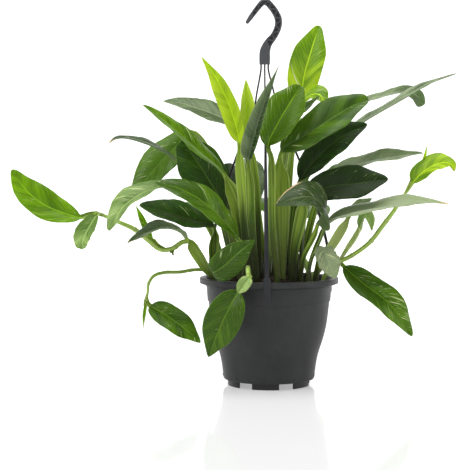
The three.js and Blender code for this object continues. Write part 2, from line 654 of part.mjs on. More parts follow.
function armGeometry(arm) {
  const angle = radians(arm.degrees);
  const [socketX, socketY] = arm.socket;
  const line = [BLOCK_BOTTOM + SOCKET_DEPTH - GAP, BLOCK_BOTTOM, BLOCK_BOTTOM - ROD_STRAIGHT].map(
    (height) => new THREE.Vector3(HANGER_X + socketX, socketY, height),
  );
  for (const [height, radius] of ARM_BOW) {
    const drift = (HANGER_X * (height - TAB_TOP)) / (BLOCK_BOTTOM - TAB_TOP);
    line.push(new THREE.Vector3(drift + radius * Math.cos(angle), radius * Math.sin(angle), height));
  }
  const tabMiddle = RIM_RADIUS + TAB_CLEARANCE + TAB_THICKNESS / 2;
  line.push(new THREE.Vector3(tabMiddle * Math.cos(angle), tabMiddle * Math.sin(angle), TAB_TOP - 3));
  const path = layLine(line, 0, [Math.cos(angle), Math.sin(angle), 0]);
  const whole = path.lengths[path.lengths.length - 1];
  const straight = SOCKET_DEPTH - GAP + ROD_STRAIGHT;
  const rings = [roundRing(frameAt(path, 0), ARM_RADIUS, ARM_RADIUS)];
  for (let i = 0; i <= ARM_STEPS; i += 1) {
    const share = i / ARM_STEPS;
    const spread = THREE.MathUtils.smoothstep(share, 0.1, 0.9) * (ARM_SPREAD - ARM_RADIUS);
    const frame = frameAt(path, straight + share * (whole - straight));
    rings.push(roundRing(frame, ARM_RADIUS + spread, ARM_RADIUS));
  }
  const rod = solid(skin(rings));
  const inner = RIM_RADIUS + TAB_CLEARANCE;
  const lipBottom = POT_HEIGHT - LIP_HEIGHT;
  const clip = [
    [inner, TAB_TOP], [inner, lipBottom - 1.6], [inner - 3.2, lipBottom - 4],
    [inner - 3.2, lipBottom - 6], [inner, lipBottom - 7], [inner, TAB_BOTTOM],
    [inner + TAB_THICKNESS, TAB_BOTTOM], [inner + TAB_THICKNESS, TAB_TOP - 1],
  ];
  const tab = facing(prism(clip, TAB_WIDTH));
  tab.rotateZ(angle);
  return geometryOf(rod.add(solid(tab)));
}

// A smooth line through hand-placed points, with the blade's upper side carried along it. With
// a heel, the stalk turns to it below the blade.
function layLine(points, bladeFrom, face, heel) {
  const curve = new THREE.CatmullRomCurve3(points, false, "centripetal");
  const spans = points.length - 1;
  const count = spans * SUBSTEPS;
  const places = [];
  const tangents = [];
  const lengths = [0];
  for (let i = 0; i <= count; i += 1) {
    places.push(curve.getPoint(i / count));
    tangents.push(curve.getTangent(i / count));
    if (i > 0) lengths.push(lengths[i - 1] + places[i].distanceTo(places[i - 1]));
  }
  const base = bladeFrom * SUBSTEPS;
  const middle = Math.round((base + count) / 2);
  const normals = [];
  normals[middle] = across(new THREE.Vector3(...face), tangents[middle]);
  for (let i = middle + 1; i <= count; i += 1) normals[i] = across(normals[i - 1], tangents[i]);
  for (let i = middle - 1; i >= 0; i -= 1) normals[i] = across(normals[i + 1], tangents[i]);
  for (let i = 0; heel && i < base; i += 1) {
    const share = THREE.MathUtils.smoothstep(i / base, 0.65, 1);
    normals[i] = across(new THREE.Vector3(...heel).lerp(normals[i], share), tangents[i]);
  }
  return { places, tangents, normals, lengths, base: lengths[base] };
}

function across(direction, tangent) {
  return direction.clone().addScaledVector(tangent, -direction.dot(tangent)).normalize();
}

// The line's place and frame at a distance along it
function frameAt(line, distance) {
  const last = line.lengths.length - 1;
  let i = 0;
  while (i < last - 1 && line.lengths[i + 1] < distance) i += 1;
  const span = line.lengths[i + 1] - line.lengths[i];
  const share = THREE.MathUtils.clamp((distance - line.lengths[i]) / span, 0, 1);
  const place = line.places[i].clone().lerp(line.places[i + 1], share);
  const tangent = line.tangents[i].clone().lerp(line.tangents[i + 1], share).normalize();
  const normal = across(line.normals[i].clone().lerp(line.normals[i + 1], share), tangent);
  return { place, normal, side: new THREE.Vector3().crossVectors(tangent, normal) };
}

// A ring of points round the line: the upper side from edge to edge, then the lower side back
function ring(frame, upper, lower) {
  const points = [];
  const add = ([sideways, lift]) => {
    const point = frame.place.clone().addScaledVector(frame.side, sideways);
    points.push(point.addScaledVector(frame.normal, lift));
  };
  const steps = Array.from({ length: ACROSS }, (_, k) => (2 * k) / (ACROSS - 1) - 1);
  steps.forEach((u) => add(upper(u)));
  steps.reverse().forEach((u) => add(lower(u)));
  return points;
}

function roundRing(frame, half, deep) {
  const bow = (u) => deep * Math.sqrt(1 - 0.93 * u * u);
  return ring(frame, (u) => [u * half, bow(u)], (u) => [u * half, -bow(u)]);
}

// Stalk: round where it stands in the soil or in its stem, then a channel between two wings,
// which end at the blade
function stalkRing(frame, share, rootRadius, wing) {
  const flat = THREE.MathUtils.smoothstep(share, 0, 0.3);
  const wide = THREE.MathUtils.lerp(rootRadius, wing, THREE.MathUtils.smoothstep(share, -0.1, 0.75));
  const half = THREE.MathUtils.lerp(wide, STALK_NECK, THREE.MathUtils.smoothstep(share, 0.8, 1.05));
  const rise = 0.3 * half * flat;
  const bow = (u) => Math.sqrt(1 - 0.93 * u * u);
  const upper = (u) => [u * half, THREE.MathUtils.lerp(rootRadius * bow(u), rise * u * u, flat)];
  const lower = (u) => {
    const back = rise * u * u - WING_EDGE - 2 * (1 - u * u);
    return [u * half, THREE.MathUtils.lerp(-rootRadius * bow(u), back, flat)];
  };
  return ring(frame, upper, lower);
}

function bladeWidth(leaf, share) {
  const { belly = 0.42, point = 1.2 } = leaf;
  const swell = (t) => Math.pow(t, point * belly) * Math.pow(1 - t, point * (1 - belly));
  const drawn = 1 - TIP_DRAW * THREE.MathUtils.smoothstep(share, 0.65, 0.95);
  return (leaf.width / 2) * (swell(share) / swell(belly)) * drawn;
}

// Blade: two gently cambered halves raised from the rib, waved along their edges
function bladeRing(frame, leaf, share) {
  const neck = STALK_NECK * THREE.MathUtils.clamp(1 - share * 12, 0, 1);
  const half = Math.max(bladeWidth(leaf, share), Math.min(neck, leaf.width / 2), TIP_WIDTH);
  const fold = radians(leaf.fold);
  const spread = Math.min(1, half / (leaf.width / 2));
  const thick = THREE.MathUtils.lerp(RIB_THICKNESS, 0.9, share) + 0.9 * Math.max(0, 1 - share * 10);
  const top = (u) => {
    const edge = Math.abs(u);
    const camber = 0.07 * half * Math.sin(Math.PI * edge);
    const swing = Math.sin(share * 13 + (u > 0 ? 1.7 : 0));
    const wave = 0.035 * leaf.width * swing * edge * edge * spread;
    return [Math.sign(u) * edge * half * Math.cos(fold), edge * half * Math.sin(fold) + camber + wave];
  };
  const under = (u) => {
    const [sideways, lift] = top(u);
    const edge = Math.abs(u);
    const depth = THREE.MathUtils.lerp(thick, EDGE_THICKNESS, Math.pow(edge, 0.6));
    return [sideways, lift - depth / Math.cos(fold)];
  };
  return ring(frame, top, under);
}

// Joins the rings into one closed skin. Both faces are split along the same diagonals.
function skin(rings) {
  const size = rings[0].length;
  const positions = rings.flat().flatMap((point) => point.toArray());
  const faces = [];
  for (let i = 0; i < rings.length - 1; i += 1) {
    for (let j = 0; j < size; j += 1) {
      const a = i * size + j;
      const b = i * size + ((j + 1) % size);
      const c = b + size;
      const d = a + size;
      const lowerSide = j >= ACROSS && j < size - 1;
      if (lowerSide) faces.push(a, b, d, b, c, d);
      else faces.push(a, b, c, a, c, d);
    }
  }
  const cap = (start, turn) => {
    for (let k = 0; k < ACROSS - 1; k += 1) {
      const corners = [start + k, start + k + 1, start + size - 2 - k, start + size - 1 - k];
      const [p, q, r, s] = corners;
      if (turn) faces.push(p, r, q, p, s, r);
      else faces.push(p, q, r, p, r, s);
    }
  };
  cap(0, true);
  cap((rings.length - 1) * size, false);
  const geometry = new THREE.BufferGeometry();
  geometry.setAttribute("position", new THREE.Float32BufferAttribute(positions, 3));
  geometry.setIndex(faces);
  if (volume(positions, faces) < 0) {
    for (let i = 0; i < faces.length; i += 3) [faces[i], faces[i + 1]] = [faces[i + 1], faces[i]];
    geometry.setIndex(faces);
  }
  geometry.computeVertexNormals();
  return geometry;
}

function volume(positions, faces) {
  const corner = (index) => new THREE.Vector3().fromArray(positions, index * 3);
  let total = 0;
  for (let i = 0; i < faces.length; i += 3) {
    total += corner(faces[i]).dot(corner(faces[i + 1]).cross(corner(faces[i + 2])));
  }
  return total / 6;
}

function leafGeometry(leaf, root, rootRadius) {
  const points = [...root, ...leaf.stalk.map(at), ...leaf.blade.map(at)];
  const line = layLine(points, root.length + leaf.stalk.length, leaf.face, leaf.heel);
  const whole = line.lengths[line.lengths.length - 1];
  const buried = root.length ? ROOT_DEPTH + ROOT_PROUD : 0;
  const wing = leaf.wing ?? (buried ? WING_WIDTH : STALK_NECK);
  const rings = buried ? [stalkRing(frameAt(line, 0), 0, rootRadius, wing)] : [];
  for (const share of root.length ? STALK_STEPS : [0, 0.5]) {
    const distance = buried + share * (line.base - buried);
    rings.push(stalkRing(frameAt(line, distance), share, rootRadius, wing));
  }
  for (const share of leaf.width > 20 ? BLADE_STEPS : SHEATH_STEPS) {
    rings.push(bladeRing(frameAt(line, line.base + share * (whole - line.base)), leaf, share));
  }
  return skin(rings);
}

// The buried end stands upright in its hole
function rootPoints([x, y]) {
  const height = soilHeight(x, y);
  return [
    new THREE.Vector3(x, y, height - ROOT_DEPTH),
    new THREE.Vector3(x, y, height + ROOT_PROUD),
    new THREE.Vector3(x, y, height + ROOT_PROUD + 5),
  ];
}

function stemGeometry(stem) {
  const points = [...rootPoints(stem.foot), ...stem.path.map(at)];
  const line = layLine(points, 1, [0, -1, 0.2]);
  const whole = line.lengths[line.lengths.length - 1];
  const buried = ROOT_DEPTH + ROOT_PROUD;
  const count = Math.round((whole - buried) / STEM_STEP);
  const rings = [];
  for (let i = -1; i <= count; i += 1) {
    const distance = i < 0 ? 0 : buried + (i / count) * (whole - buried);
    rings.push(roundRing(frameAt(line, distance), stem.radius, stem.radius));
  }
  let body = solid(skin(rings));
  for (const leaf of stem.leaves) {
    body = body.add(solid(leafGeometry(leaf, [], stem.radius * 0.8)));
  }
  return geometryOf(body);
}

function build() {
  const group = new THREE.Group();
  group.add(piece("pot", potGeometry(), POT_FINISH));
  const feet = [...LEAVES, ...STEMS].map(({ foot }) => foot);
  group.add(piece("soil", soilGeometry(feet), SOIL_FINISH));
  group.add(piece("hanger_hook", hookGeometry(), HANGER_FINISH));
  for (const arm of ARMS) group.add(piece(arm.name, armGeometry(arm), HANGER_FINISH));
  for (const leaf of LEAVES) {
    const geometry = leafGeometry(leaf, rootPoints(leaf.foot), ROOT_RADIUS);
    group.add(piece(leaf.name, geometry, TONES[leaf.tone]));
  }
  for (const stem of STEMS) group.add(piece(stem.name, stemGeometry(stem), STEM_FINISH));
  return group;
}

// The origin is the middle of the whole part's box, on the surface that it stands on
const model = build();
const box = new THREE.Box3().setFromObject(model);
model.position.set(-(box.min.x + box.max.x) / 2, -(box.min.y + box.max.y) / 2, -box.min.z);
const part = new THREE.Group();
part.add(model);

export default part;
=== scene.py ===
import functools
import math
import random

import bmesh
import bpy
import numpy as np
from mathutils import Euler, Matrix, Vector


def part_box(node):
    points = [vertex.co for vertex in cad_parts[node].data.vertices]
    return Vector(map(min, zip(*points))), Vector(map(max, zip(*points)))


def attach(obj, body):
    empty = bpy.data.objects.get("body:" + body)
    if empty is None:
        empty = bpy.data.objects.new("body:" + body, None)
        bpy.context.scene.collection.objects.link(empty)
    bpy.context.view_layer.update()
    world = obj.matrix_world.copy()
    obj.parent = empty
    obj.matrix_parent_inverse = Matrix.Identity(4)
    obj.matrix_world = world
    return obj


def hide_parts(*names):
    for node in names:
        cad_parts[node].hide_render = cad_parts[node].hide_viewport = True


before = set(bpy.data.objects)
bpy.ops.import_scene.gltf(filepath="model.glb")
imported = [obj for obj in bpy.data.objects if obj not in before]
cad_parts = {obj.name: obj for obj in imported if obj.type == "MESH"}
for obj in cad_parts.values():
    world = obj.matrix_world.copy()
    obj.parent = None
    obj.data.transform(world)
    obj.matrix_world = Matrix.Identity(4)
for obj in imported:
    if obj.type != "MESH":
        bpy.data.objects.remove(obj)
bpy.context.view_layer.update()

# A potted cobra philodendron: fine leaves, stems, soil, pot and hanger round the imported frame.
# Metres, +Z up. The camera stands in front and looks along +Y. The leaves and stems below are
# listed in millimetres, with the same points as in the CAD model.
SEED = 7
BODY = "root"
MM = 0.001

# Pot, as in the CAD model
RIM_RADIUS = 0.075
POT_HEIGHT = 0.116
LIP_HEIGHT = 0.006
BASE_TOP = 0.0086
FOOT_COUNT = 6
FOOT_HEIGHT = 0.0068
FOOT_RADIUS = 0.0448
FOOT_WALL = 0.0026
FOOT_SUNK = 0.0008
FOOT_NOTCH = math.radians(22)
FOOT_PITCH = 2 * math.pi / FOOT_COUNT
FRONT_FOOT = math.radians(-96.2)
NUB_SIZE = (0.0022, 0.0026, 0.0036)
NUB_RADIUS = 0.0489
NUB_HEIGHT = 0.0110
NUB_CORNER = 0.0006
NUB_SHARE = 0.42
DRAIN_RADIUS = 0.004
DRAIN_CIRCLE = 0.036
DRAIN_LENGTH = 0.008
POT_SIDES = 192

# Soil
SOIL_EDGE = 0.106
SOIL_CROWN = 0.010
SOIL_RADIUS = 0.0646
SOIL_SIDE = [(0.0472, BASE_TOP + 0.0004), (0.0522, 0.0375), (0.0621, 0.079)]
SOIL_SIDES = 150
SOIL_ROWS = 46
SOIL_WAVES = 26
LUMP_HEIGHT = 0.00045
ROOT_DEPTH = 0.012
ROOT_PROUD = 0.0015
ROOT_RADIUS = 0.003
CRUMB_COUNT = 900
CRUMB_REACH = 0.063
CRUMB_SIZES = (0.0008, 0.0011, 0.0015, 0.0022)

# Hanger
HANGER_X = -0.0049
HOOK_THICKNESS = 0.007
HOOK_CORNER = 0.0009
HOOK_EDGE = 0.00018
BLOCK_BOTTOM = 0.3446
SOCKET_DEPTH = 0.004
SOCKET_RADIUS = 0.00125
ARM_RADIUS = 0.00085
ARM_SPREAD = 0.0023
ARM_CORNER = 0.00055
ARM_END_GAP = 0.0003
ARM_NECK = 0.005
ARM_OVERLAP = 0.003
TAB_WIDTH = 0.007
TAB_THICKNESS = 0.002
TAB_TOP = 0.1215
TAB_BOTTOM = 0.097
TAB_CLEARANCE = 0.0004
TAB_CORNER = 0.0005
TOOTH_REACH = 0.0032
TOOTH_LEVELS = (0.0016, 0.004, 0.006, 0.007)

# Leaves
# A blade arches by CAMBER times its half width and waves by MARGIN_WAVE times its width.
# Its veins run forward as they go out, by VEIN_RISE at first and by VEIN_BEND more further out.
SUBSTEPS = 32
STALK_RINGS = 30
BLADE_RINGS = 76
ACROSS = 35
RIB_THICKNESS = 0.0013
TIP_THICKNESS = 0.0007
EDGE_THICKNESS = 0.00032
NECK_THICKNESS = 0.0009
KEEL_DEPTH = 0.0005
KEEL_REACH = 0.0011
GROOVE_DEPTH = 0.00042
GROOVE_REACH = 0.0008
CAMBER = 0.07
MARGIN_WAVE = 0.035
WING_WIDTH = 0.0045
WING_EDGE = 0.0004
STALK_BODY = 0.0021
STALK_NECK = 0.0027
STALK_RIDGE = 0.00016
CHANNEL_DEPTH = 0.0004
TIP_WIDTH = 0.00025
TIP_DRAW = 0.28
VEIN_SPACING = 0.0052
VEIN_RISE = 1.15
VEIN_BEND = 16.0
VEIN_RELIEF = 0.00013

# The look of a stalk runs from foot to blade. A leaf on a stem has the upper part of it only.
STEM_STALK_SHARE = 0.3

# The pot's axis on the floor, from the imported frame
POT_LOW, POT_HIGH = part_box("pot")
POT_AXIS = np.array([(POT_LOW[0] + POT_HIGH[0]) / 2, (POT_LOW[1] + POT_HIGH[1]) / 2, 0.0])

# Camera, from the pot's axis on the floor. The leaves are laid out as it sees them: a point is
# (across, up, back), across and up on the upright plane through the pot's axis, and back how far
# behind that plane it lies, along the line of sight.
EYE = np.array([-0.0367, -1.446, 0.237])
AIM = np.array([-0.0367, 0.0, 0.1615])
LENS = 102.8
SIGHT = (AIM - EYE) / np.linalg.norm(AIM - EYE)
RISE = np.array([0.0, -SIGHT[2], SIGHT[1]])


def at(point):
    across, up, back = np.array(point) * MM
    seen = AIM + RISE * (up - AIM[2])
    seen[0] += across - AIM[0]
    ray = seen - EYE
    return EYE + ray * (back - EYE[1]) / ray[1]


# A leaf stands in the soil at foot (across, back), rises along stalk and spreads along blade.
# width is how wide its blade is, belly where along the blade it is widest, point how drawn out its
# tip is, fold the angle that each half is raised by, in degrees, and face the way that its upper
# side looks at mid-blade. wing is half the width of the winged stalk, and heel the way that the
# stalk's channel looks lower down. curl turns the margins up and twist the tip, both in degrees,
# and ruffle waves the margins.
# tone names its two colours in TONES. The glows say how light it is, from 0 to 1 or a little past
# either, and in part they paint in light and shade: a low glow darkens a leaf that stands in shade
# and a high one lightens a leaf that catches the light. glow the blade, tip_glow its outer part,
# side_painted_light what its right half has on top of that, which paints light and shade on the two halves
# of a folded leaf, stalk_glow the stalk and foot_glow_painted_shade the stalk's lower part, where a low
# value is painted shade down among the stalks. streak is how much cream it has, dry how brown its tip is
# and brown_edge how brown one margin is.
PLAIN_LEAF = dict(
    point=1.2, curl=0, twist=0, ruffle=0.006, heel=None,
    glow=0.5, side_painted_light=0.0, stalk_glow=0.5, streak=0.1, dry=0.0, brown_edge=0.0,
)

LEAVES = {
    "leaf_young_tall": dict(
        tone="young", glow=0.75, tip_glow=0.7, stalk_glow=0.95, foot_glow_painted_shade=-0.4, streak=0.4,
        foot=(-17, -16), width=23, fold=26, belly=0.36, wing=5.6, face=(-0.3, -0.9, 0.1),
        stalk=[(-24, 150, -15), (-26, 172, -16), (-28, 199, -18), (-31, 237, -20)],
        blade=[(-32, 262, -22), (-41, 296, -28), (-56, 329, -36), (-72.6, 353.6, -44)],
    ),
    "leaf_spear_centre": dict(
        tone="young", glow=1.1, stalk_glow=0.9, foot_glow_painted_shade=-0.1, foot=(-11, -4), width=20, fold=36,
        belly=0.4, wing=5, face=(0.2, -0.9, 0),
        stalk=[(-12, 156, -2), (-14, 205, -2), (-19, 245, -4)],
        blade=[(-23.5, 268, -6), (-24, 290, -8), (-25, 329, -12)],
    ),
    # Painted sheen and painted shade: its left half is light grey for the light it catches and its right
    # half dark green for the shade, by its sheen tone and side_painted_light.
    "leaf_folded_centre": dict(
        tone="sheen", curl=35, glow=0.85, side_painted_light=-0.85, stalk_glow=0.6, foot_glow_painted_shade=-0.5, streak=0.9,
        foot=(-14, -28), width=36, fold=50, belly=0.28, point=2, wing=5, face=(-0.15, -0.95, 0.2),
        stalk=[(-16.5, 150, -27), (-19, 180, -28), (-20, 215, -31)],
        blade=[(-21.5, 243, -41), (-14, 275, -54), (-3, 309, -57), (12, 348, -54)],
    ),
    "leaf_bright_centre": dict(
        tone="fresh", glow=-0.15, stalk_glow=0.6, streak=0.5, foot=(8, -36), width=41, fold=12,
        belly=0.55, point=0.95, wing=4.2, face=(-0.2, -0.9, 0.3),
        stalk=[(5, 150, -35), (3.4, 185, -36.5), (3.4, 228, -39), (2.4, 246, -42)],
        blade=[(-1, 258, -45), (10, 283, -45), (22, 303, -43), (34, 323, -40)],
    ),
    "leaf_slender_centre": dict(
        tone="mature", glow=0.4, foot=(10, -6), width=24, fold=12, belly=0.45, wing=5,
        face=(-0.45, -0.35, 0.75),
        stalk=[(10, 150, -7), (12, 200, -9), (15, 245, -12)],
        blade=[(19, 272, -16), (33, 291, -21), (54, 311, -26)],
    ),
    "leaf_curled_small": dict(
        tone="young", glow=0.25, streak=0.6, foot=(12, 10), width=23, fold=14, belly=0.5,
        face=(0.1, -0.7, 0.65),
        stalk=[(13, 156, 10), (18, 221, 10), (26, 275, 4)],
        blade=[(33, 300, 0), (44, 312, -6), (54, 313, -12), (62, 303, -18)],
    ),
    # Painted shade: its outer part is darkened (tip_glow 0) against the lighter lower blade.
    "leaf_tall_bright": dict(
        tone="young", glow=0.5, tip_glow=0.0, streak=0.4, foot=(20, 23), width=38, fold=12, belly=0.47,
        point=0.95, wing=5, face=(-0.15, -0.95, 0.15),
        stalk=[(20, 160, 25), (21, 220, 28), (26, 275, 24)],
        blade=[(34, 305, 18), (38, 334, 14), (46, 362, 12), (54, 387.5, 14)],
    ),
    "leaf_large_right": dict(
        tone="mature", glow=0.55, stalk_glow=0.75, streak=0.5, foot=(14, -22), width=43, fold=13,
        belly=0.56, point=0.9, wing=10, heel=(0.1, -1, 0), face=(-0.3, -0.8, 0.5),
        stalk=[(14, 156, -22), (13, 195, -24), (12.5, 232, -29)],
        blade=[(14, 252, -35), (38, 268, -43), (64, 285, -50), (88, 300, -54), (107, 309, -55)],
    ),
    # Painted shade: its dark tone and low glow paint in the shade that the leaves over it cast.
    "leaf_dark_right": dict(
        tone="deep_painted_shade", glow=0.2, stalk_glow=0.3, streak=-0.4, foot=(23, -9), width=38, fold=14, belly=0.5,
        wing=6, face=(-0.35, -0.8, 0.4),
        stalk=[(25, 150, -8), (29, 190, -8)],
        blade=[(34, 221, -6), (51, 244, -8), (78, 267, -16), (106, 281, -26)],
    ),
    "leaf_long_edge_right": dict(
        tone="silver_and_painted_sheen", glow=0.4, foot=(33, 16), width=33, fold=8, belly=0.45, face=(-0.46, -0.16, 0.86),
        stalk=[(28, 165, 13), (37, 215, 9), (62, 256, 5)],
        blade=[(88, 276, 2), (107, 288, 3), (148, 311, 5), (170, 324, 5), (202, 336, 6)],
    ),
    "leaf_drooping_right": dict(
        tone="silver_and_painted_sheen", glow=0.75, tip_glow=0.05, twist=50, foot=(30, 29), width=25, fold=10, belly=0.62,
        point=0.7, wing=4, face=(0.1, -0.3, 0.95),
        stalk=[(31, 175, 28), (44, 240, 32), (74, 286, 38)],
        blade=[(96, 303, 42), (127, 313, 44), (148, 316, 45), (159, 312, 44), (164, 300, 42)],
    ),
    "leaf_grey_right": dict(
        tone="silver_and_painted_sheen", glow=0.75, foot=(34, 4), width=34, fold=12, belly=0.48, wing=5,
        face=(-0.1, -0.36, 0.9),
        stalk=[(36, 160, 6), (40, 190, 8), (55, 220, 8)],
        blade=[(70, 232, 8), (98, 239, 6), (133, 246, 4), (166, 250, 2)],
    ),
    # Painted shade: its dark tone and low glow paint in the shade that the leaves over it cast.
    "leaf_dark_low_right": dict(
        tone="deep_painted_shade", glow=0.15, stalk_glow=0.45, streak=-0.1, foot=(25, -21), width=42, fold=12,
        belly=0.5, wing=6.5, heel=(0.15, -1, 0), face=(-0.05, -0.85, 0.5),
        stalk=[(28, 150, -24), (35, 183, -26)],
        blade=[(40, 204, -23), (61, 213, -29), (93, 217, -37), (128.6, 222, -42)],
    ),
    "leaf_folded_front": dict(
        tone="grey", glow=0.0, stalk_glow=0.5, streak=0.2, brown_edge=0.8, foot=(34, -21), width=47,
        fold=10, belly=0.4, wing=5, face=(-0.1, -0.6, 0.8),
        stalk=[(37, 137, -24), (46, 156, -31)],
        blade=[(54, 174, -43), (60, 190, -60), (46, 202, -67), (26, 201, -71), (7, 193, -72)],
    ),
    "leaf_long_low_right": dict(
        tone="silver_and_painted_sheen", glow=1.12, stalk_glow=0.1, dry=0.5, foot=(40, -33), width=36, fold=10, belly=0.45,
        face=(-0.1, -0.3, 0.95),
        stalk=[(44.5, 133, -33), (54, 156, -36)],
        blade=[(63, 175, -38), (87, 185, -41), (125, 192, -44), (159, 198, -46), (194, 195, -48)],
    ),
    "leaf_small_pale_right": dict(
        tone="silver_and_painted_sheen", glow=1.2, stalk_glow=1.4, foot=(48, -8), width=17, fold=14, belly=0.45, wing=5.5,
        heel=(-0.3, -1, 0.1), face=(-0.45, -0.6, 0.6),
        stalk=[(58, 130, -8), (66, 146, -4), (75, 161, 0), (83, 174, 4)],
        blade=[(87, 182, 7), (97, 192, 10), (111, 201, 12)],
    ),
    "leaf_wrinkled_right": dict(
        tone="silver_and_painted_sheen", glow=1.05, streak=0.7, ruffle=0.05, foot=(49, -24), width=25, fold=8, belly=0.5,
        point=0.9, wing=4, face=(0.1, -0.75, 0.55),
        stalk=[(54, 130, -25), (57, 143, -30)],
        blade=[(59, 149, -38), (61, 140, -50), (66, 128, -58), (71, 115, -63)],
    ),
    "leaf_rim_left": dict(
        tone="streaked", glow=0.1, streak=0.5, foot=(-46, -34), width=31, fold=9, belly=0.36, wing=4,
        face=(0.2, -0.95, 0.15),
        stalk=[(-52, 124, -42), (-58, 127, -50)],
        blade=[(-61, 121, -60), (-50, 127, -69), (-37, 139, -73), (-25, 149, -74), (-15, 156, -73)],
    ),
    "leaf_big_left": dict(
        tone="streaked", glow=0.42, tip_glow=0.2, foot_glow_painted_shade=-0.2, streak=0.3, foot=(-27, -36), width=38,
        fold=11, belly=0.5, wing=6, face=(0.35, -0.62, 0.7),
        stalk=[(-28, 134, -38), (-30, 148, -42)],
        blade=[(-34, 158, -46), (-50, 178, -52), (-72, 198, -58), (-98, 212, -60), (-123, 218, -60)],
    ),
    "leaf_pale_left": dict(
        tone="pale", glow=0.2, tip_glow=0.4, streak=0.5, foot=(-31, -9), width=33, fold=20, belly=0.5,
        point=0.95, face=(-0.5, -0.62, 0.6),
        stalk=[(-38, 150, -10), (-50, 188, -14), (-80, 212, -24), (-100, 218, -33)],
        blade=[(-112, 216, -38), (-136, 207, -48), (-157, 192, -57), (-173, 166, -60)],
    ),
    # Painted shade: its dark tone paints in the shade of the leaves over it.
    "leaf_dark_left": dict(
        tone="deep_painted_shade", glow=0.7, streak=-0.1, stalk_glow=0.4, foot=(-51, 17), width=40, fold=10, belly=0.5,
        wing=5.5, heel=(0, -1, 0), face=(0.1, -0.6, 0.8),
        stalk=[(-57, 128, 11), (-60, 142, 6), (-59, 160, 2)],
        blade=[(-60, 171, -2), (-80, 178, -6), (-112, 187, -12), (-140, 194, -16)],
    ),
    "leaf_broad_left": dict(
        tone="mature", glow=0.15, stalk_glow=0.4, streak=0.4, foot=(-34, 9), width=48, fold=10,
        belly=0.62, point=0.8, wing=5.5, face=(-0.1, -0.95, 0.2),
        stalk=[(-37, 150, 9), (-40, 172, 8)],
        blade=[(-46, 190, 7), (-65, 221, 5), (-80, 244, 2), (-94, 264, -2)],
    ),
    "leaf_long_upper_left": dict(
        tone="fresh", glow=0.22, stalk_glow=0.8, foot_glow_painted_shade=-0.2, foot=(-22, -5), width=31, fold=13,
        belly=0.45, wing=7.5, heel=(0.15, -1, 0), face=(0.45, -0.45, 0.76),
        stalk=[(-28, 155, -4), (-36, 195, -8), (-46, 221, -14)],
        blade=[(-50, 230, -17), (-74, 251, -25), (-98, 272, -31), (-118, 289, -35), (-136, 302, -38)],
    ),
    "leaf_narrow_left": dict(
        tone="grey", glow=0.2, dry=0.4, foot=(-38, 22), width=25, fold=10, belly=0.45, wing=4,
        face=(-0.2, -0.26, 0.93),
        stalk=[(-45, 160, 22), (-60, 200, 22), (-85, 231, 18)],
        blade=[(-101, 244, 14), (-123, 257, 9), (-152, 266, 2), (-164, 266, -1), (-173, 261, -3)],
    ),
    "leaf_rear_left": dict(
        tone="mature", glow=0.75, foot=(-28, 33), width=43, fold=11, belly=0.5, face=(-0.3, -0.8, 0.5),
        stalk=[(-40, 180, 44), (-60, 240, 60), (-74, 267, 56)],
        blade=[(-84, 273, 52), (-101, 257, 46), (-118, 239, 42), (-134, 220, 39), (-148, 202, 38)],
    ),
    "leaf_grey_upper_left": dict(
        tone="silver_and_painted_sheen", glow=0.3, foot_glow_painted_shade=-0.5, streak=0.5, foot=(-8, 10), width=34, fold=11, belly=0.42,
        wing=5, face=(0.2, -0.6, 0.8),
        stalk=[(-14, 162, 10), (-19, 215, 10), (-25, 253, 10)],
        blade=[(-33, 277, 12), (-53, 289, 16), (-74, 297, 20), (-96, 304, 24), (-114, 306, 27)],
    ),
    "leaf_arching_left": dict(
        tone="silver_and_painted_sheen", glow=0.25, stalk_glow=0.7, dry=0.3, foot=(-54, -20), width=29, fold=14, belly=0.42,
        wing=5.5, heel=(-0.3, -1, 0.1), face=(-0.15, -0.33, 0.93),
        stalk=[(-67, 124, -24), (-77, 139, -27), (-86, 154, -29)],
        blade=[(-89, 160, -31), (-98, 167, -36), (-114, 170, -43), (-134, 163, -50), (-153, 153, -54)],
    ),
    # Painted shade: its dark tone and low glow paint in the shade inside the plant.
    "leaf_inner_dark": dict(
        tone="deep_painted_shade", glow=0.2, streak=-0.4, foot=(-19, 22), width=29, fold=10, belly=0.55, point=0.9,
        face=(0.1, -0.85, 0.5),
        stalk=[(-24, 150, 24), (-30, 170, 28)],
        blade=[(-34, 184, 32), (-38, 206, 40), (-42, 226, 50), (-45, 239, 62)],
    ),
    "leaf_inner_grey": dict(
        tone="grey", glow=0.3, foot=(-6, 28), width=29, fold=10, belly=0.5, face=(0, -0.6, 0.8),
        stalk=[(-9, 156, 32), (-12, 180, 40)],
        blade=[(-14, 196, 50), (-17, 218, 66), (-21, 236, 88), (-25, 244, 116)],
    ),
    "leaf_back_high_right": dict(
        tone="fresh", glow=0.4, streak=0.5, foot=(6, 30), width=37, fold=12, belly=0.48,
        face=(0.1, -0.35, 0.95),
        stalk=[(12, 170, 34), (20, 220, 42)],
        blade=[(27, 256, 56), (36, 272, 82), (48, 280, 114), (60, 272, 146)],
    ),
    "leaf_back_right": dict(
        tone="mature", glow=0.5, streak=0.5, foot=(36, 40), width=39, fold=12, belly=0.48,
        face=(0.1, -0.2, 0.95),
        stalk=[(42, 160, 46), (50, 190, 54)],
        blade=[(58, 210, 66), (74, 224, 88), (90, 230, 112), (106, 222, 138)],
    ),
    "leaf_back_left": dict(
        tone="mature", glow=0.45, streak=0.6, foot=(-38, 44), width=38, fold=12, belly=0.48,
        face=(-0.1, -0.2, 0.95),
        stalk=[(-46, 160, 54), (-52, 186, 64)],
        blade=[(-58, 208, 76), (-68, 226, 100), (-78, 234, 128), (-88, 226, 158)],
    ),
    "leaf_back_low_left": dict(
        tone="streaked", glow=0.5, streak=0.5, foot=(-50, 33), width=34, fold=12, belly=0.46,
        face=(-0.15, -0.1, 0.95),
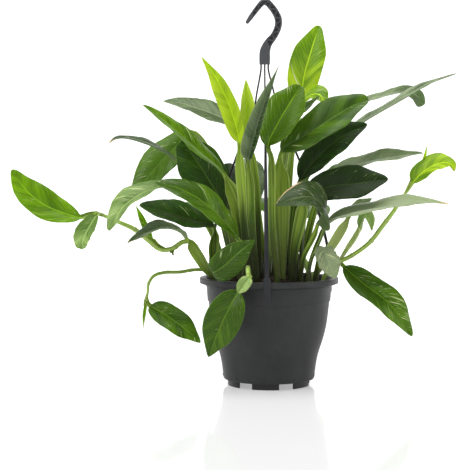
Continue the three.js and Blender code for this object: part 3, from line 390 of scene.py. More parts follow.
        stalk=[(-54, 142, 48), (-62, 164, 62)],
        blade=[(-72, 179, 72), (-86, 190, 88), (-98, 192, 112), (-108, 180, 138)],
    ),
    "leaf_back_low_right": dict(
        tone="streaked", glow=0.4, streak=0.5, foot=(24, 44), width=35, fold=12, belly=0.46,
        face=(0.1, -0.1, 0.95),
        stalk=[(28, 140, 54), (32, 162, 66)],
        blade=[(36, 178, 80), (44, 190, 104), (52, 190, 130), (60, 178, 156)],
    ),
    "leaf_back_middle": dict(
        tone="fresh", glow=0.35, streak=0.5, foot=(2, 46), width=36, fold=12, belly=0.46,
        face=(0, -0.1, 0.95),
        stalk=[(3, 140, 56), (2, 166, 66)],
        blade=[(0, 184, 82), (-2, 198, 108), (-5, 200, 136), (-8, 188, 166)],
    ),
    "leaf_back_hanging_left": dict(
        tone="mature", glow=0.5, streak=0.5, foot=(-20, 52), width=33, fold=11, belly=0.45,
        face=(-0.15, 0.95, 0.25),
        stalk=[(-23, 129, 59), (-28, 136, 76), (-32, 131, 92)],
        blade=[(-34, 120, 102), (-36, 98, 112), (-34, 74, 114), (-30, 50, 108)],
    ),
    "leaf_back_hanging_right": dict(
        tone="fresh", glow=0.4, streak=0.6, foot=(20, 54), width=32, fold=11, belly=0.45,
        face=(0.15, 0.95, 0.25),
        stalk=[(23, 129, 60), (31, 136, 76), (38, 132, 90)],
        blade=[(42, 122, 99), (46, 102, 109), (46, 80, 112), (42, 58, 107)],
    ),
}

STEMS = {
    "stem_trailing_left": dict(
        foot=(-58, -5), radius=2.6,
        path=[(-66, 127, -8), (-75, 143, -8), (-84, 154, -8), (-93, 154, -10), (-104, 147, -14),
              (-117, 146, -17), (-128, 154, -20), (-144, 167, -24), (-162, 175.5, -30), (-177, 182, -33),
              (-187, 186, -35)],
        leaves=[
            dict(
                tone="fresh", glow=0.5, streak=0.4, width=35, fold=9, belly=0.52, point=1.2,
                face=(0.15, -0.85, 0.5),
                stalk=[(-185, 185.6, -34.5), (-195, 183.5, -37)],
                blade=[(-203, 181, -39), (-223, 186, -43), (-244, 195, -46), (-264, 212, -48),
                       (-277.5, 232, -48)],
            ),
            dict(
                tone="pale", glow=0.1, tip_glow=0.45, streak=0.5, curl=40, ruffle=0.02, width=24, fold=16,
                belly=0.66, point=0.5, face=(-0.25, -0.9, 0.3),
                stalk=[(-180, 183.2, -33.6), (-184, 185, -40)],
                blade=[(-187, 182, -45), (-193, 172, -50), (-200, 158, -53), (-202, 146, -58)],
            ),
            dict(
                tone="fresh", glow=0.55, width=10, fold=38, belly=0.25, point=0.9, wing=4,
                face=(-0.3, -0.9, 0.2),
                stalk=[(-113, 146.3, -16), (-122, 151, -19)],
                blade=[(-127, 158, -20), (-136, 178, -20), (-143.5, 193, -18)],
            ),
            dict(
                tone="root", width=2.6, fold=20, belly=0.3, point=1, face=(0, -1, 0),
                stalk=[(-106, 147, -14), (-104.5, 143.5, -16)],
                blade=[(-104, 142, -17), (-103, 139, -19)],
            ),
        ],
    ),
    "stem_hanging_left": dict(
        foot=(-57, 7), radius=1.9,
        path=[(-66, 123, 4), (-80, 124, -2), (-96, 121.6, -9), (-113, 121, -15), (-124, 117.5, -19),
              (-129.5, 110, -21), (-131, 99, -22), (-132, 90, -22.5)],
        leaves=[
            dict(
                tone="streaked", glow=0.35, streak=0.5, width=29, fold=9, belly=0.4, point=1.05,
                face=(0.25, -0.85, 0.45),
                stalk=[(-131.8, 94, -22.2), (-131, 88, -23.5)],
                blade=[(-128, 85, -25), (-111, 75, -30), (-92, 61, -35), (-74, 45.5, -39)],
            ),
            dict(
                tone="fresh", glow=0.4, dry=0.6, width=4.6, fold=30, belly=0.2, point=1.2,
                face=(-0.4, -0.9, 0),
                stalk=[(-131.5, 97, -22), (-132.6, 88, -21)],
                blade=[(-133, 84, -21), (-134.6, 73, -20.5), (-135.6, 61, -20)],
            ),
        ],
    ),
    "stem_hanging_front": dict(
        foot=(-21, -51), radius=2.1,
        path=[(-22.5, 126, -62), (-23, 124, -73), (-23, 117, -80), (-26, 110, -82.5)],
        leaves=[
            dict(
                tone="sheath", glow=0.7, width=15, fold=30, belly=0.45, point=0.8, face=(-0.1, -1, 0.1),
                stalk=[(-23, 119, -79), (-21.5, 117, -81)],
                blade=[(-22, 115, -82.5), (-27, 108, -86.5), (-33.5, 99, -87)],
            ),
            dict(
                tone="streaked", glow=0.3, streak=0.2, width=39, fold=13, belly=0.42, point=1.3,
                face=(-0.1, -1, 0.1),
                stalk=[(-24.5, 113, -82), (-29, 105.5, -82.5)],
                blade=[(-33, 101, -82.5), (-43, 83, -84), (-54, 59, -81), (-65.5, 30, -76)],
            ),
        ],
    ),
    "stem_trailing_right": dict(
        foot=(58, -13), radius=2.5,
        path=[(66, 127, -13), (73, 132, -13), (83, 136, -13), (98, 145, -14), (110, 155, -14),
              (123, 172, -14), (135, 188, -14), (142, 199, -13), (150, 211, -12)],
        leaves=[
            dict(
                tone="streaked", glow=0.15, tip_glow=0.6, streak=0.6, width=35, fold=11, belly=0.45,
                point=1.05, face=(0.35, -0.8, 0.45),
                stalk=[(71, 130.8, -13), (77, 130.5, -15)],
                blade=[(81, 127, -17), (102, 109, -26), (131, 86, -36), (154.5, 52.5, -41)],
            ),
            dict(
                tone="young", glow=0.35, tip_glow=0.45, stalk_glow=0.9, streak=0, dry=0.3, width=29,
                fold=15, belly=0.4, point=1.05, face=(-0.1, -0.65, 0.75),
                stalk=[(148, 208, -12.3), (152, 214, -12)],
                blade=[(155, 218, -12), (168, 231, -14), (184, 239, -16), (196, 238, -18),
                       (200, 230, -20)],
            ),
            dict(
                tone="young", glow=0.6, width=5, fold=45, belly=0.35, point=1.1, face=(0, -1, 0),
                stalk=[(149, 209.5, -12), (155, 221, -7)],
                blade=[(161, 231, -4), (167, 243, -3), (170.5, 258.5, -3)],
            ),
            dict(
                tone="pale", glow=1.0, stalk_glow=1.4, width=13, fold=34, belly=0.4, point=1, wing=4.8,
                face=(-0.1, -0.85, 0.5),
                stalk=[(74, 132.4, -13), (84, 146, -8), (93, 159, -4)],
                blade=[(98, 170, -2), (104, 184, -3), (109, 179, -7), (111, 166, -10)],
            ),
        ],
    ),
}


def lerp(a, b, share):
    return a + (b - a) * share


def smoothstep(x, low, high):
    share = np.clip((x - low) / (high - low), 0.0, 1.0)
    return share * share * (3 - 2 * share)


def unit(vectors):
    return vectors / np.linalg.norm(vectors, axis=-1, keepdims=True)


def bell(x, reach):
    return np.exp(-((x / reach) ** 2))


def running(steps):
    """The sum of the steps so far, from 0 on."""
    return np.concatenate([[0.0], np.cumsum(steps)])


# Lines: a smooth line through given points, with a frame at every distance along it
class Line:
    def __init__(self, points, blade_from=0, face=(0, -1, 0.2), heel=None):
        self.places, self.tangents = spline(np.asarray(points, float), SUBSTEPS)
        self.lengths = running(np.linalg.norm(np.diff(self.places, axis=0), axis=1))
        self.whole = self.lengths[-1]
        base = blade_from * SUBSTEPS
        self.base = self.lengths[base]
        self.normals = self.carry(face, base)
        if heel is not None:
            for i in range(base):
                share = smoothstep(i / base, 0.65, 1.0)
                self.normals[i] = self.level(lerp(np.array(heel, float), self.normals[i], share), i)

    def level(self, direction, i):
        """The direction, turned square to the line at sample i."""
        tangent = self.tangents[i]
        return unit(direction - tangent * np.dot(direction, tangent))

    def carry(self, face, base):
        """Normals that look towards face at mid-blade and turn as little as they can elsewhere."""
        count = len(self.places) - 1
        normals = np.zeros((count + 1, 3))
        middle = round((base + count) / 2)
        normals[middle] = self.level(np.array(face, float), middle)
        for i in range(middle + 1, count + 1):
            normals[i] = self.level(normals[i - 1], i)
        for i in range(middle - 1, -1, -1):
            normals[i] = self.level(normals[i + 1], i)
        return normals

    def frames(self, distances):
        """The place, normal and sideways direction at each distance."""
        def along(values):
            return np.stack([np.interp(distances, self.lengths, values[:, k]) for k in range(3)], 1)

        tangent = unit(along(self.tangents))
        normal = along(self.normals)
        normal = unit(normal - tangent * np.sum(normal * tangent, axis=1, keepdims=True))
        return along(self.places), normal, np.cross(tangent, normal)


def spline(points, count):
    """Places and tangents of a smooth curve through the points, count samples to a span."""
    padded = np.vstack([2 * points[0] - points[1], points, 2 * points[-1] - points[-2]])
    gaps = np.sqrt(np.linalg.norm(np.diff(padded, axis=0), axis=1))
    places, tangents = [], []
    for i in range(len(points) - 1):
        p0, p1, p2, p3 = padded[i:i + 4]
        d0, d1, d2 = gaps[i:i + 3]
        start = ((p1 - p0) / d0 - (p2 - p0) / (d0 + d1) + (p2 - p1) / d1) * d1
        end = ((p2 - p1) / d1 - (p3 - p1) / (d1 + d2) + (p3 - p2) / d2) * d1
        square = -3 * p1 + 3 * p2 - 2 * start - end
        cube = 2 * p1 - 2 * p2 + start + end
        last = i == len(points) - 2
        t = np.linspace(0, 1, count + 1)[: count + 1 if last else count, None]
        places.append(p1 + start * t + square * t**2 + cube * t**3)
        tangents.append(start + 2 * square * t + 3 * cube * t**2)
    return np.vstack(places), unit(np.vstack(tangents))


# Skins: rings of points joined into one closed mesh, with what the materials read at each point.
# leaf holds the share along and across and whether the point is on the underside, reach the way
# along and across in metres and the seed, and look how dry, how light and how streaked it is.
# On a bare stem, the first value of look is how near a node the point is.
class Skin:
    def __init__(self):
        self.points, self.faces, self.materials = [], [], []
        self.values = {"leaf": [], "reach": [], "look": []}
        self.count = 0

    def add(self, rings, values, material=0):
        """rings is an array (ring, point, xyz) whose points run once round each ring."""
        amount, size = rings.shape[:2]
        flat = rings.reshape(-1, 3)
        i, j = np.meshgrid(np.arange(amount - 1), np.arange(size), indexing="ij")
        a = i * size + j
        b = i * size + (j + 1) % size
        faces = np.stack([a, b, b + size, a + size], -1).reshape(-1, 4)
        k = np.arange(size // 2 - 1)
        cap = np.stack([k, k + 1, size - 2 - k, size - 1 - k], 1)
        faces = np.vstack([faces, cap[:, ::-1], cap + (amount - 1) * size])
        if signed_volume(flat, faces) < 0:
            faces = faces[:, ::-1]
        self.points.append(flat)
        self.faces.append(faces + self.count)
        self.materials.append(np.full(len(faces), material))
        self.count += len(flat)
        for key, given in values.items():
            self.values[key].append(given.reshape(-1, 3))

    def build(self, name, materials):
        mesh = bpy.data.meshes.new(name)
        points = np.vstack(self.points) + POT_AXIS
        mesh.from_pydata(points.tolist(), [], np.vstack(self.faces).tolist())
        for material in materials:
            mesh.materials.append(material)
        mesh.polygons.foreach_set("material_index", np.concatenate(self.materials).astype(np.int32))
        mesh.polygons.foreach_set("use_smooth", np.ones(len(mesh.polygons), bool))
        for key, given in self.values.items():
            layer = mesh.attributes.new(key, "FLOAT_VECTOR", "POINT")
            layer.data.foreach_set("vector", np.concatenate(given).astype(np.float32).ravel())
        mesh.update()
        return place(name, mesh)


def signed_volume(points, faces):
    a, b, c, d = (points[faces[:, k]] for k in range(4))
    return np.sum(a * np.cross(b, c)) + np.sum(a * np.cross(c, d))


def triple(shape, *values):
    """Three values at every point, as an array (ring, point, value)."""
    return np.stack([np.broadcast_to(value, shape) for value in values], -1)


def place(name, mesh):
    piece = bpy.data.objects.new(name, mesh)
    bpy.context.scene.collection.objects.link(piece)
    return piece


def settle(piece, slot, *nodes):
    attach(piece, BODY)
    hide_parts(*nodes)


# Leaves: a round foot, a channel between two thin wings, and a blade with a rib and veins.
# SPREAD and U run from the left margin to the right one. U stands closer together near the rib.
SPREAD = np.linspace(-1, 1, ACROSS)
U = np.sign(SPREAD) * (0.62 * np.abs(SPREAD) + 0.38 * np.abs(SPREAD) ** 2)


def blade_half(leaf, t):
    """Half the blade's width at each share t along it."""
    widest, belly, point = leaf["width"] * MM / 2, leaf["belly"], leaf["point"]

    def swell(x):
        return x ** (point * belly) * (1 - x) ** (point * (1 - belly))

    drawn = 1 - TIP_DRAW * smoothstep(t, 0.65, 0.95)
    half = widest * swell(t) / swell(belly) * drawn
    neck = min(STALK_NECK, widest) * np.clip(1 - 12 * t, 0, 1)
    return np.maximum((half**4 + neck**4) ** 0.25, TIP_WIDTH)


def blade_offsets(leaf, t, length, seed):
    """The upper and lower sides' (sideways, lift) at each share t along the blade."""
    t = t[:, None]
    width = leaf["width"] * MM
    fold, curl = math.radians(leaf["fold"]), math.radians(leaf["curl"])
    half = blade_half(leaf, t)
    edge = np.abs(U)[None, :]
    side = np.sign(U)[None, :]
    down = edge * half
    spread = np.minimum(1, half / (width / 2))
    sideways, lift = unroll(half, edge, fold + curl * smoothstep(edge, 0.3, 1))

    camber = CAMBER * half * np.sin(np.pi * edge)
    swing = np.sin(13 * t + np.where(U > 0, 1.7, 0.0))
    wave = MARGIN_WAVE * width * swing * edge**2 * spread
    ruffle = np.sin(34 * t + 5 * seed + 2.2 * side) + 0.6 * np.sin(61 * t + 9 * seed - side)
    wave = wave + leaf["ruffle"] * width * ruffle * edge**4 * spread
    vein = t * length - VEIN_RISE * down - VEIN_BEND * down**2
    firm = smoothstep(edge, 0.04, 0.3) * (1 - smoothstep(edge, 0.75, 1)) * spread
    relief = VEIN_RELIEF * np.sin(2 * np.pi * vein / VEIN_SPACING + 3 * side) * firm
    groove = GROOVE_DEPTH * (1 - 0.7 * t) * bell(down, GROOVE_REACH)
    top = lift + camber + wave + relief - groove

    thick = lerp(RIB_THICKNESS, TIP_THICKNESS, t) + NECK_THICKNESS * np.maximum(0, 1 - 10 * t)
    depth = lerp(thick, EDGE_THICKNESS, edge**0.45)
    depth = depth + KEEL_DEPTH * (1 - t) * bell(down, KEEL_REACH)
    return side * sideways, top, top - depth / np.cos(fold)


def unroll(half, edge, angle):
    """Walks out from the rib along a half blade whose slope is angle at each share of its width."""
    middle = len(SPREAD) // 2
    step = np.diff(edge[0, middle:])
    slope = (angle[0, middle + 1:] + angle[0, middle:-1]) / 2
    out = running(step * np.cos(slope))
    rise = running(step * np.sin(slope))
    out = np.concatenate([out[:0:-1], out])
    rise = np.concatenate([rise[:0:-1], rise])
    return half * out[None, :], half * rise[None, :]


def stalk_offsets(share, root_radius, wing, seed):
    """The same for the stalk, which is round at its foot and a winged channel further up."""
    share = share[:, None]
    u = U[None, :]
    flat = smoothstep(share, 0, 0.3)
    wide = lerp(root_radius, wing, smoothstep(share, -0.1, 0.75))
    half = lerp(wide, STALK_NECK, smoothstep(share, 0.8, 1.05))
    rise = 0.3 * half * flat
    bow = root_radius * np.sqrt(1 - 0.99 * u**2)
    wave = 0.05 * wing * np.sin(9 * share + 4 * seed + 1.9 * np.sign(u)) * np.abs(u) ** 4 * flat
    ridge = STALK_RIDGE * np.cos(7.5 * np.pi * u) * (1 - u**4) * flat
    channel = rise * u**2 + wave - CHANNEL_DEPTH * flat * bell(u, 0.28)
    body = WING_EDGE + STALK_BODY * (1 - smoothstep(np.abs(u), 0.15, 0.95))
    upper = lerp(bow, channel, flat)
    lower = lerp(-bow, rise * u**2 + wave - body + ridge, flat)
    return u * half, upper, lower


def leaf_rings(leaf, root, root_radius, seed):
    """One leaf's rings and the values that its material reads at each point."""
    leaf = {**PLAIN_LEAF, **leaf}
    points = [*root, *map(at, leaf["stalk"]), *map(at, leaf["blade"])]
    line = Line(points, len(root) + len(leaf["stalk"]), leaf["face"], leaf["heel"])
    length = line.whole - line.base
    buried = ROOT_DEPTH + ROOT_PROUD if root else 0.0
    wing = leaf["wing"] * MM if "wing" in leaf else (WING_WIDTH if root else STALK_NECK)

    share = np.linspace(0, 1, STALK_RINGS, endpoint=False)
    stalk_at = buried + share * (line.base - buried)
    if root:
        share = np.concatenate([[0.0], share])
        stalk_at = np.concatenate([[0.0], stalk_at])
    even = np.linspace(0, 1, BLADE_RINGS)
    t = lerp(0.5 - 0.5 * np.cos(np.pi * even), even, 0.6)
    stalk = np.stack(stalk_offsets(share, root_radius, wing, seed))
    first = np.stack(blade_offsets(leaf, np.zeros(1), length, seed))
    blade = np.stack(blade_offsets(leaf, t, length, seed))
    turn = smoothstep(share, 0.8, 1.0)[None, :, None]
    sideways, top, under = np.concatenate([lerp(stalk, first, turn), blade], axis=1)

    along = np.concatenate([(share - 1) * (1.0 if root else STEM_STALK_SHARE), t])[:, None]
    distance = np.concatenate([stalk_at, line.base + t * length])
    placed, normal, side = line.frames(distance)
    twist = math.radians(leaf["twist"]) * smoothstep(along, 0.55, 1.0)
    level, upright = side, normal
    normal = upright * np.cos(twist) + level * np.sin(twist)
    side = level * np.cos(twist) - upright * np.sin(twist)

    def lay(lift):
        return placed[:, None] + side[:, None] * sideways[..., None] + normal[:, None] * lift[..., None]

    rings = np.concatenate([lay(top), lay(under)[:, ::-1]], axis=1)
    half = np.abs(sideways).max(axis=1, keepdims=True)
    forward = (distance - line.base)[:, None]
    return rings, leaf_values(leaf, along, forward, half, seed)


def leaf_values(leaf, along, forward, half, seed):
    """What the leaf's material reads, for the upper side's points and then the lower side's."""
    shape = (len(along), len(U))
    spread = U[None, :]
    glow = leaf["glow"]
    glow = lerp(glow, leaf.get("tip_glow", glow), smoothstep(along, 0.35, 0.75))
    # Painted light and shade: side_painted_light makes one half of a blade lighter or darker than the
    # other.
    glow = glow + leaf["side_painted_light"] * smoothstep(spread, -0.12, 0.12)
    # Painted shade: foot_glow_painted_shade darkens the stalk's lower part, for the shade down among the
    # stalks.
    foot_glow_painted_shade = leaf.get("foot_glow_painted_shade", leaf["stalk_glow"])
    stalk_glow_and_foot_shade = lerp(foot_glow_painted_shade, leaf["stalk_glow"], smoothstep(along, -0.8, -0.3))
    glow = np.where(along < 0, stalk_glow_and_foot_shade, glow)
    dry = leaf["dry"] * smoothstep(along + 0.1 * np.abs(spread), 0.955, 1.03)
    dry = np.maximum(dry, leaf["brown_edge"] * brown_edge(along, spread))

    def both(upper, lower):
        return np.concatenate([upper, lower[:, ::-1]], axis=1)

    reach = triple(shape, forward, spread * half, seed)
    look = triple(shape, dry, glow, leaf["streak"])
    return {
        "leaf": both(triple(shape, along, spread, 0.0), triple(shape, along, spread, 1.0)),
        "reach": both(reach, reach),
        "look": both(look, look),
    }


def brown_edge(along, spread):
    """A dried, cream to brown margin round the outer part of a blade."""
    return smoothstep(spread, 0.8, 0.95) * smoothstep(along, 0.55, 0.75)


def soil_height(x, y):
    share = (x * x + y * y) / SOIL_RADIUS**2
    return SOIL_EDGE + SOIL_CROWN * np.maximum(0, 1 - share)


def root_points(foot):
    """A stalk's three lowest points, from inside the soil to just over it."""
    x, y = np.array(foot) * MM
    height = soil_height(x, y)
    return [np.array([x, y, height + rise]) for rise in (-ROOT_DEPTH, ROOT_PROUD, ROOT_PROUD + 0.005)]


def make_leaf(name, leaf, seed):
    skin = Skin()
    skin.add(*leaf_rings(leaf, root_points(leaf["foot"]), ROOT_RADIUS, seed))
    piece = skin.build(name + "_fine", [leaf_material(leaf["tone"])])
    settle(piece, TONES[leaf["tone"]]["slot"], name)


# Stems: a round stem with swollen nodes, and the leaves, sheaths and stubs that grow from it
STEM_SIDES = 24
STEM_STEP = 0.0012
NODE_SPACING = 0.026


def stem_rings(stem, seed):
    """The bare stem's rings and the values that its material reads at each point."""
    line = Line([*root_points(stem["foot"]), *map(at, stem["path"])], 1)
    distance = np.linspace(0, line.whole, max(8, round(line.whole / STEM_STEP)))
    placed, normal, side = line.frames(distance)
    turn = np.linspace(0, 2 * np.pi, STEM_SIDES, endpoint=False)
    phase = ((distance + 0.01 * seed) / NODE_SPACING) % 1.0
    swell = 0.16 * bell(phase - 0.5, 0.055) - 0.05 * bell(phase - 0.58, 0.03)
    taper = 1 - 0.35 * smoothstep(distance / line.whole, 0.7, 1.0)
    radius = stem["radius"] * MM
    ribs = 1 + 0.035 * np.cos(5 * turn + 1.3)[None, :]
    reach = (radius * (1 + swell) * taper)[:, None, None] * ribs[..., None]
    turn_side, turn_normal = np.cos(turn)[None, :, None], np.sin(turn)[None, :, None]
    outward = side[:, None] * turn_side + normal[:, None] * turn_normal
    rings = placed[:, None] + reach * outward
    shape = rings.shape[:2]
    node_ring = np.clip(swell, 0, 1)[:, None] * 2.4
    return rings, {
        "leaf": triple(shape, -1.0, 0.0, 0.0),
        "reach": triple(shape, distance[:, None], turn[None, :] * radius, seed),
        "look": triple(shape, node_ring, 0.5, 0.0),
    }


def make_stem(name, stem, seed):
    skin = Skin()
    skin.add(*stem_rings(stem, seed))
    materials = [stem_material()]
    for number, leaf in enumerate(stem["leaves"], 1):
        material = leaf_material(leaf["tone"])
        if material not in materials:
            materials.append(material)
        fine = leaf_rings(leaf, [], stem["radius"] * MM * 0.8, seed + 0.37 * number)
        skin.add(*fine, materials.index(material))
    settle(skin.build(name + "_fine", materials), "stem_green", name)


# Solids: closed rings of points joined and capped, and what the moulded pieces share
def join_rings(bm, rings, capped=True):
    rings = [[bm.verts.new(point) for point in ring] for ring in rings]
    for low, high in zip(rings, rings[1:]):
        for k in range(len(low)):
            ahead = (k + 1) % len(low)
            bm.faces.new((low[k], low[ahead], high[ahead], high[k]))
    if capped:
        bm.faces.new(rings[0][::-1])
        bm.faces.new(rings[-1])
    return rings


def around(radius, angle, z):
    """A point at an angle round the z axis."""
    return (radius * math.cos(angle), radius * math.sin(angle), z)


def circle(radius, z, sides):
    return [around(radius, 2 * math.pi * i / sides, z) for i in range(sides)]


def turned(bm, profile, sides):
    """A closed solid turned round the z axis. The profile runs from axis to axis."""
    rings = join_rings(bm, [circle(radius, z, sides) for radius, z in profile[1:-1]], capped=False)
    for ring, z in ((rings[0][::-1], profile[0][1]), (rings[-1], profile[-1][1])):
        middle = bm.verts.new((0, 0, z))
        for i in range(sides):
            bm.faces.new((middle, ring[i], ring[(i + 1) % sides]))


def refined(profile, step):
    """The profile with its longer spans split, so that the wall's normals stay smooth."""
    points = [profile[0]]
    for (r0, z0), (r1, z1) in zip(profile, profile[1:]):
        parts = max(1, math.ceil(math.hypot(r1 - r0, z1 - z0) / step))
        points += [(lerp(r0, r1, i / parts), lerp(z0, z1, i / parts)) for i in range(1, parts + 1)]
    return points


def softened(profile, rounds=2):
    """Corner cutting, which turns the given wall into a smooth sweep."""
    for _ in range(rounds):
        points = [profile[0]]
        for (r0, z0), (r1, z1) in zip(profile, profile[1:]):
            points += [(lerp(r0, r1, share), lerp(z0, z1, share)) for share in (0.25, 0.75)]
        profile = points + [profile[-1]]
    return profile


def rounded_box(half_a, half_b, corner, steps=4):
    """The outline of a box with round corners, as (a, b) round its middle."""
    outline = []
    for sign_a, sign_b, start in ((1, 1, 0), (-1, 1, 90), (-1, -1, 180), (1, -1, 270)):
        for i in range(steps + 1):
            angle = math.radians(start + 90 * i / steps)
            outline.append((sign_a * (half_a - corner) + corner * math.cos(angle),
                            sign_b * (half_b - corner) + corner * math.sin(angle)))
    return outline


def laid(outline, spot, side, normal):
    """The outline's points in space, round a spot of the line that it follows."""
    return [spot + side * a + normal * b for a, b in outline]


def rod(bm, radius, length, spot, sides):
    """An upright rod round a spot, to cut a round hole with."""
    made = bmesh.ops.create_cone(bm, cap_ends=True, segments=sides, radius1=radius, radius2=radius,
                                 depth=length)["verts"]
    bmesh.ops.translate(bm, vec=spot, verts=made)


def shade(mesh, sharp_degrees):
    """Smooth shading, but for edges past the angle."""
    mesh.polygons.foreach_set("use_smooth", [True] * len(mesh.polygons))
    mesh.set_sharp_from_angle(angle=math.radians(sharp_degrees))


def mesh_from(bm, name, sharp_degrees=35):
    """Puts the solids round the pot's axis, as one mesh."""
    bmesh.ops.recalc_face_normals(bm, faces=bm.faces)
    bmesh.ops.translate(bm, vec=Vector(POT_AXIS), verts=bm.verts)
    mesh = bpy.data.meshes.new(name)
    bm.to_mesh(mesh)
    bm.free()
    shade(mesh, sharp_degrees)
    return mesh


def cut(piece, tool_mesh):
    """Takes the tool's solid out of the piece for good."""
    tool = place(piece.name + "_tool", tool_mesh)
    modifier = piece.modifiers.new("cut", "BOOLEAN")
    modifier.object = tool
    modifier.solver = "EXACT"
    modifier.use_self = True
    bake(piece)
    bpy.data.objects.remove(tool)


def bake(piece):
    """Turns the piece's modifiers into its mesh."""
    evaluated = piece.evaluated_get(bpy.context.evaluated_depsgraph_get())
    mesh = bpy.data.meshes.new_from_object(evaluated)
    piece.modifiers.clear()
    piece.data = mesh


# Pot: turned wall with a rolled lip, notched feet and drain holes. Profiles are (radius, z).
BASE_EDGE = [(0.0484, FOOT_HEIGHT), (0.0491, 0.0078)]
WALL = [
    (0.0494, 0.0096), (0.0501, 0.016), (0.0517, 0.027), (0.0542, 0.037), (0.0582, 0.0485), (0.0622, 0.064),
    (0.0641, 0.079), (0.0653, 0.0903),
]
WALL_STEP = [(0.0654, 0.0907), (0.0663, 0.0914), (0.0664, 0.0918)]
COLLAR = [(0.0674, 0.105), (0.0682, 0.1077)]
LIP = [
    (0.0735, 0.1098), (0.0747, 0.1102), (0.075, 0.111), (0.075, 0.1148), (0.0748, 0.1156),
    (0.0741, 0.116), (0.0686, 0.116), (0.0676, 0.1155), (0.0673, 0.1145),
]
INNER_WALL = [(0.066, 0.107), (0.0625, 0.079), (0.0526, 0.0375), (0.0476, BASE_TOP)]
NEAR_AXIS = 0.0001
WALL_SPAN = 0.003
COLLAR_SPAN = 0.002
LONG_SPAN = 0.01


def pot_profile():
    underside = [*refined([(NEAR_AXIS, FOOT_HEIGHT), BASE_EDGE[0]], LONG_SPAN), BASE_EDGE[1]]
    outside = [*refined(softened(WALL), WALL_SPAN), *WALL_STEP, *refined(COLLAR, COLLAR_SPAN), *LIP]
    floor = refined([INNER_WALL[-1], (NEAR_AXIS, BASE_TOP)], LONG_SPAN)
    inside = [*refined(INNER_WALL, LONG_SPAN), *floor]
    return [(0, FOOT_HEIGHT), *underside, *outside, *inside, (0, BASE_TOP)]


def foot_block(bm, start, end, steps=14, slope=0.0005, end_inset=0.0006):
    """One foot: a curved wall with slightly rounded corners, sunk into the base."""
    high = FOOT_HEIGHT + FOOT_SUNK
    edge = 0.0004
    rings = []
    for i in range(steps + 1):
        inset = end_inset if i in (0, steps) else 0.0
        inner, outer = FOOT_RADIUS - FOOT_WALL + inset, FOOT_RADIUS - inset
        outline = [(inner, edge), (FOOT_RADIUS - FOOT_WALL + slope, 0.0), (FOOT_RADIUS - slope, 0.0),
                   (outer, edge), (outer, high), (inner, high)]
        rings.append([around(radius, lerp(start, end, i / steps), z) for radius, z in outline])
    join_rings(bm, rings)


def nub(bm, angle):
    """A short moulded rib on the wall beside a notch."""
    made = bmesh.ops.create_cube(bm, size=1.0)["verts"]
    bmesh.ops.scale(bm, vec=Vector(NUB_SIZE), verts=made)
    edges = list({edge for vert in made for edge in vert.link_edges})
    rounded = bmesh.ops.bevel(bm, geom=edges + made, offset=NUB_CORNER, segments=2, affect="EDGES")
    verts = list({vert for face in rounded["faces"] for vert in face.verts})
    bmesh.ops.transform(bm, matrix=Matrix.Rotation(angle, 4, "Z"), verts=verts)
    bmesh.ops.translate(bm, vec=around(NUB_RADIUS, angle, NUB_HEIGHT), verts=verts)


def make_pot():
    bm = bmesh.new()
    turned(bm, pot_profile(), POT_SIDES)
    piece = place("pot_shell", mesh_from(bm, "pot_shell"))
    drains = bmesh.new()
    for i in range(FOOT_COUNT):
        spot = around(DRAIN_CIRCLE, FRONT_FOOT + (i + 0.5) * FOOT_PITCH, (FOOT_HEIGHT + BASE_TOP) / 2)
        rod(drains, DRAIN_RADIUS, DRAIN_LENGTH, spot, 32)
    cut(piece, mesh_from(drains, "drains"))
    piece.data.materials.append(pot_material())
    feet = bmesh.new()
    for i in range(FOOT_COUNT):
        middle = FRONT_FOOT + i * FOOT_PITCH
        half = (FOOT_PITCH - FOOT_NOTCH) / 2
        foot_block(feet, middle - half, middle + half)
        notch = middle + FOOT_PITCH / 2
        for side in (-1, 1):
            nub(feet, notch + side * FOOT_NOTCH * NUB_SHARE)
    ring = place("pot_feet", mesh_from(feet, "pot_feet", 50))
    ring.data.materials.append(pot_material())
    settle(piece, "pot_plastic", "pot")
    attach(ring, BODY)


# Soil: a crumbly top in the pot, with loose chips of bark and peat on it
def crumbling(draw):
    """A function of x and y that lifts the soil's top into small lumps."""
    waves = [(draw.uniform(150, 900), draw.uniform(0, 2 * math.pi), draw.uniform(0, 6.3))
             for _ in range(SOIL_WAVES)]

    def crumble(x, y):
        total = 0.0
        for pitch, turn, phase in waves:
            across = x * math.cos(turn) + y * math.sin(turn)
            total += math.sin(pitch * across + phase) / (pitch / 150) ** 0.8
        return LUMP_HEIGHT * total

    return crumble


def make_soil():
    draw = random.Random(SEED)
    crumble = crumbling(draw)
    rings = [circle(radius, z, SOIL_SIDES) for radius, z in SOIL_SIDE]
    for k in range(SOIL_ROWS):
        rough = min(1, 0.25 + k / 3)
        row = circle(SOIL_RADIUS * (1 - k / SOIL_ROWS), 0, SOIL_SIDES)
        rings.append([(x, y, soil_height(x, y) + crumble(x, y) * rough) for x, y, _ in row])
    bm = bmesh.new()
    join_rings(bm, rings)
    for _ in range(CRUMB_COUNT):
        chip(bm, draw, crumble)
    mesh = mesh_from(bm, "soil_crumb", 180)
    mesh.materials.append(soil_material())
    settle(place("soil_crumb", mesh), "soil", "soil")


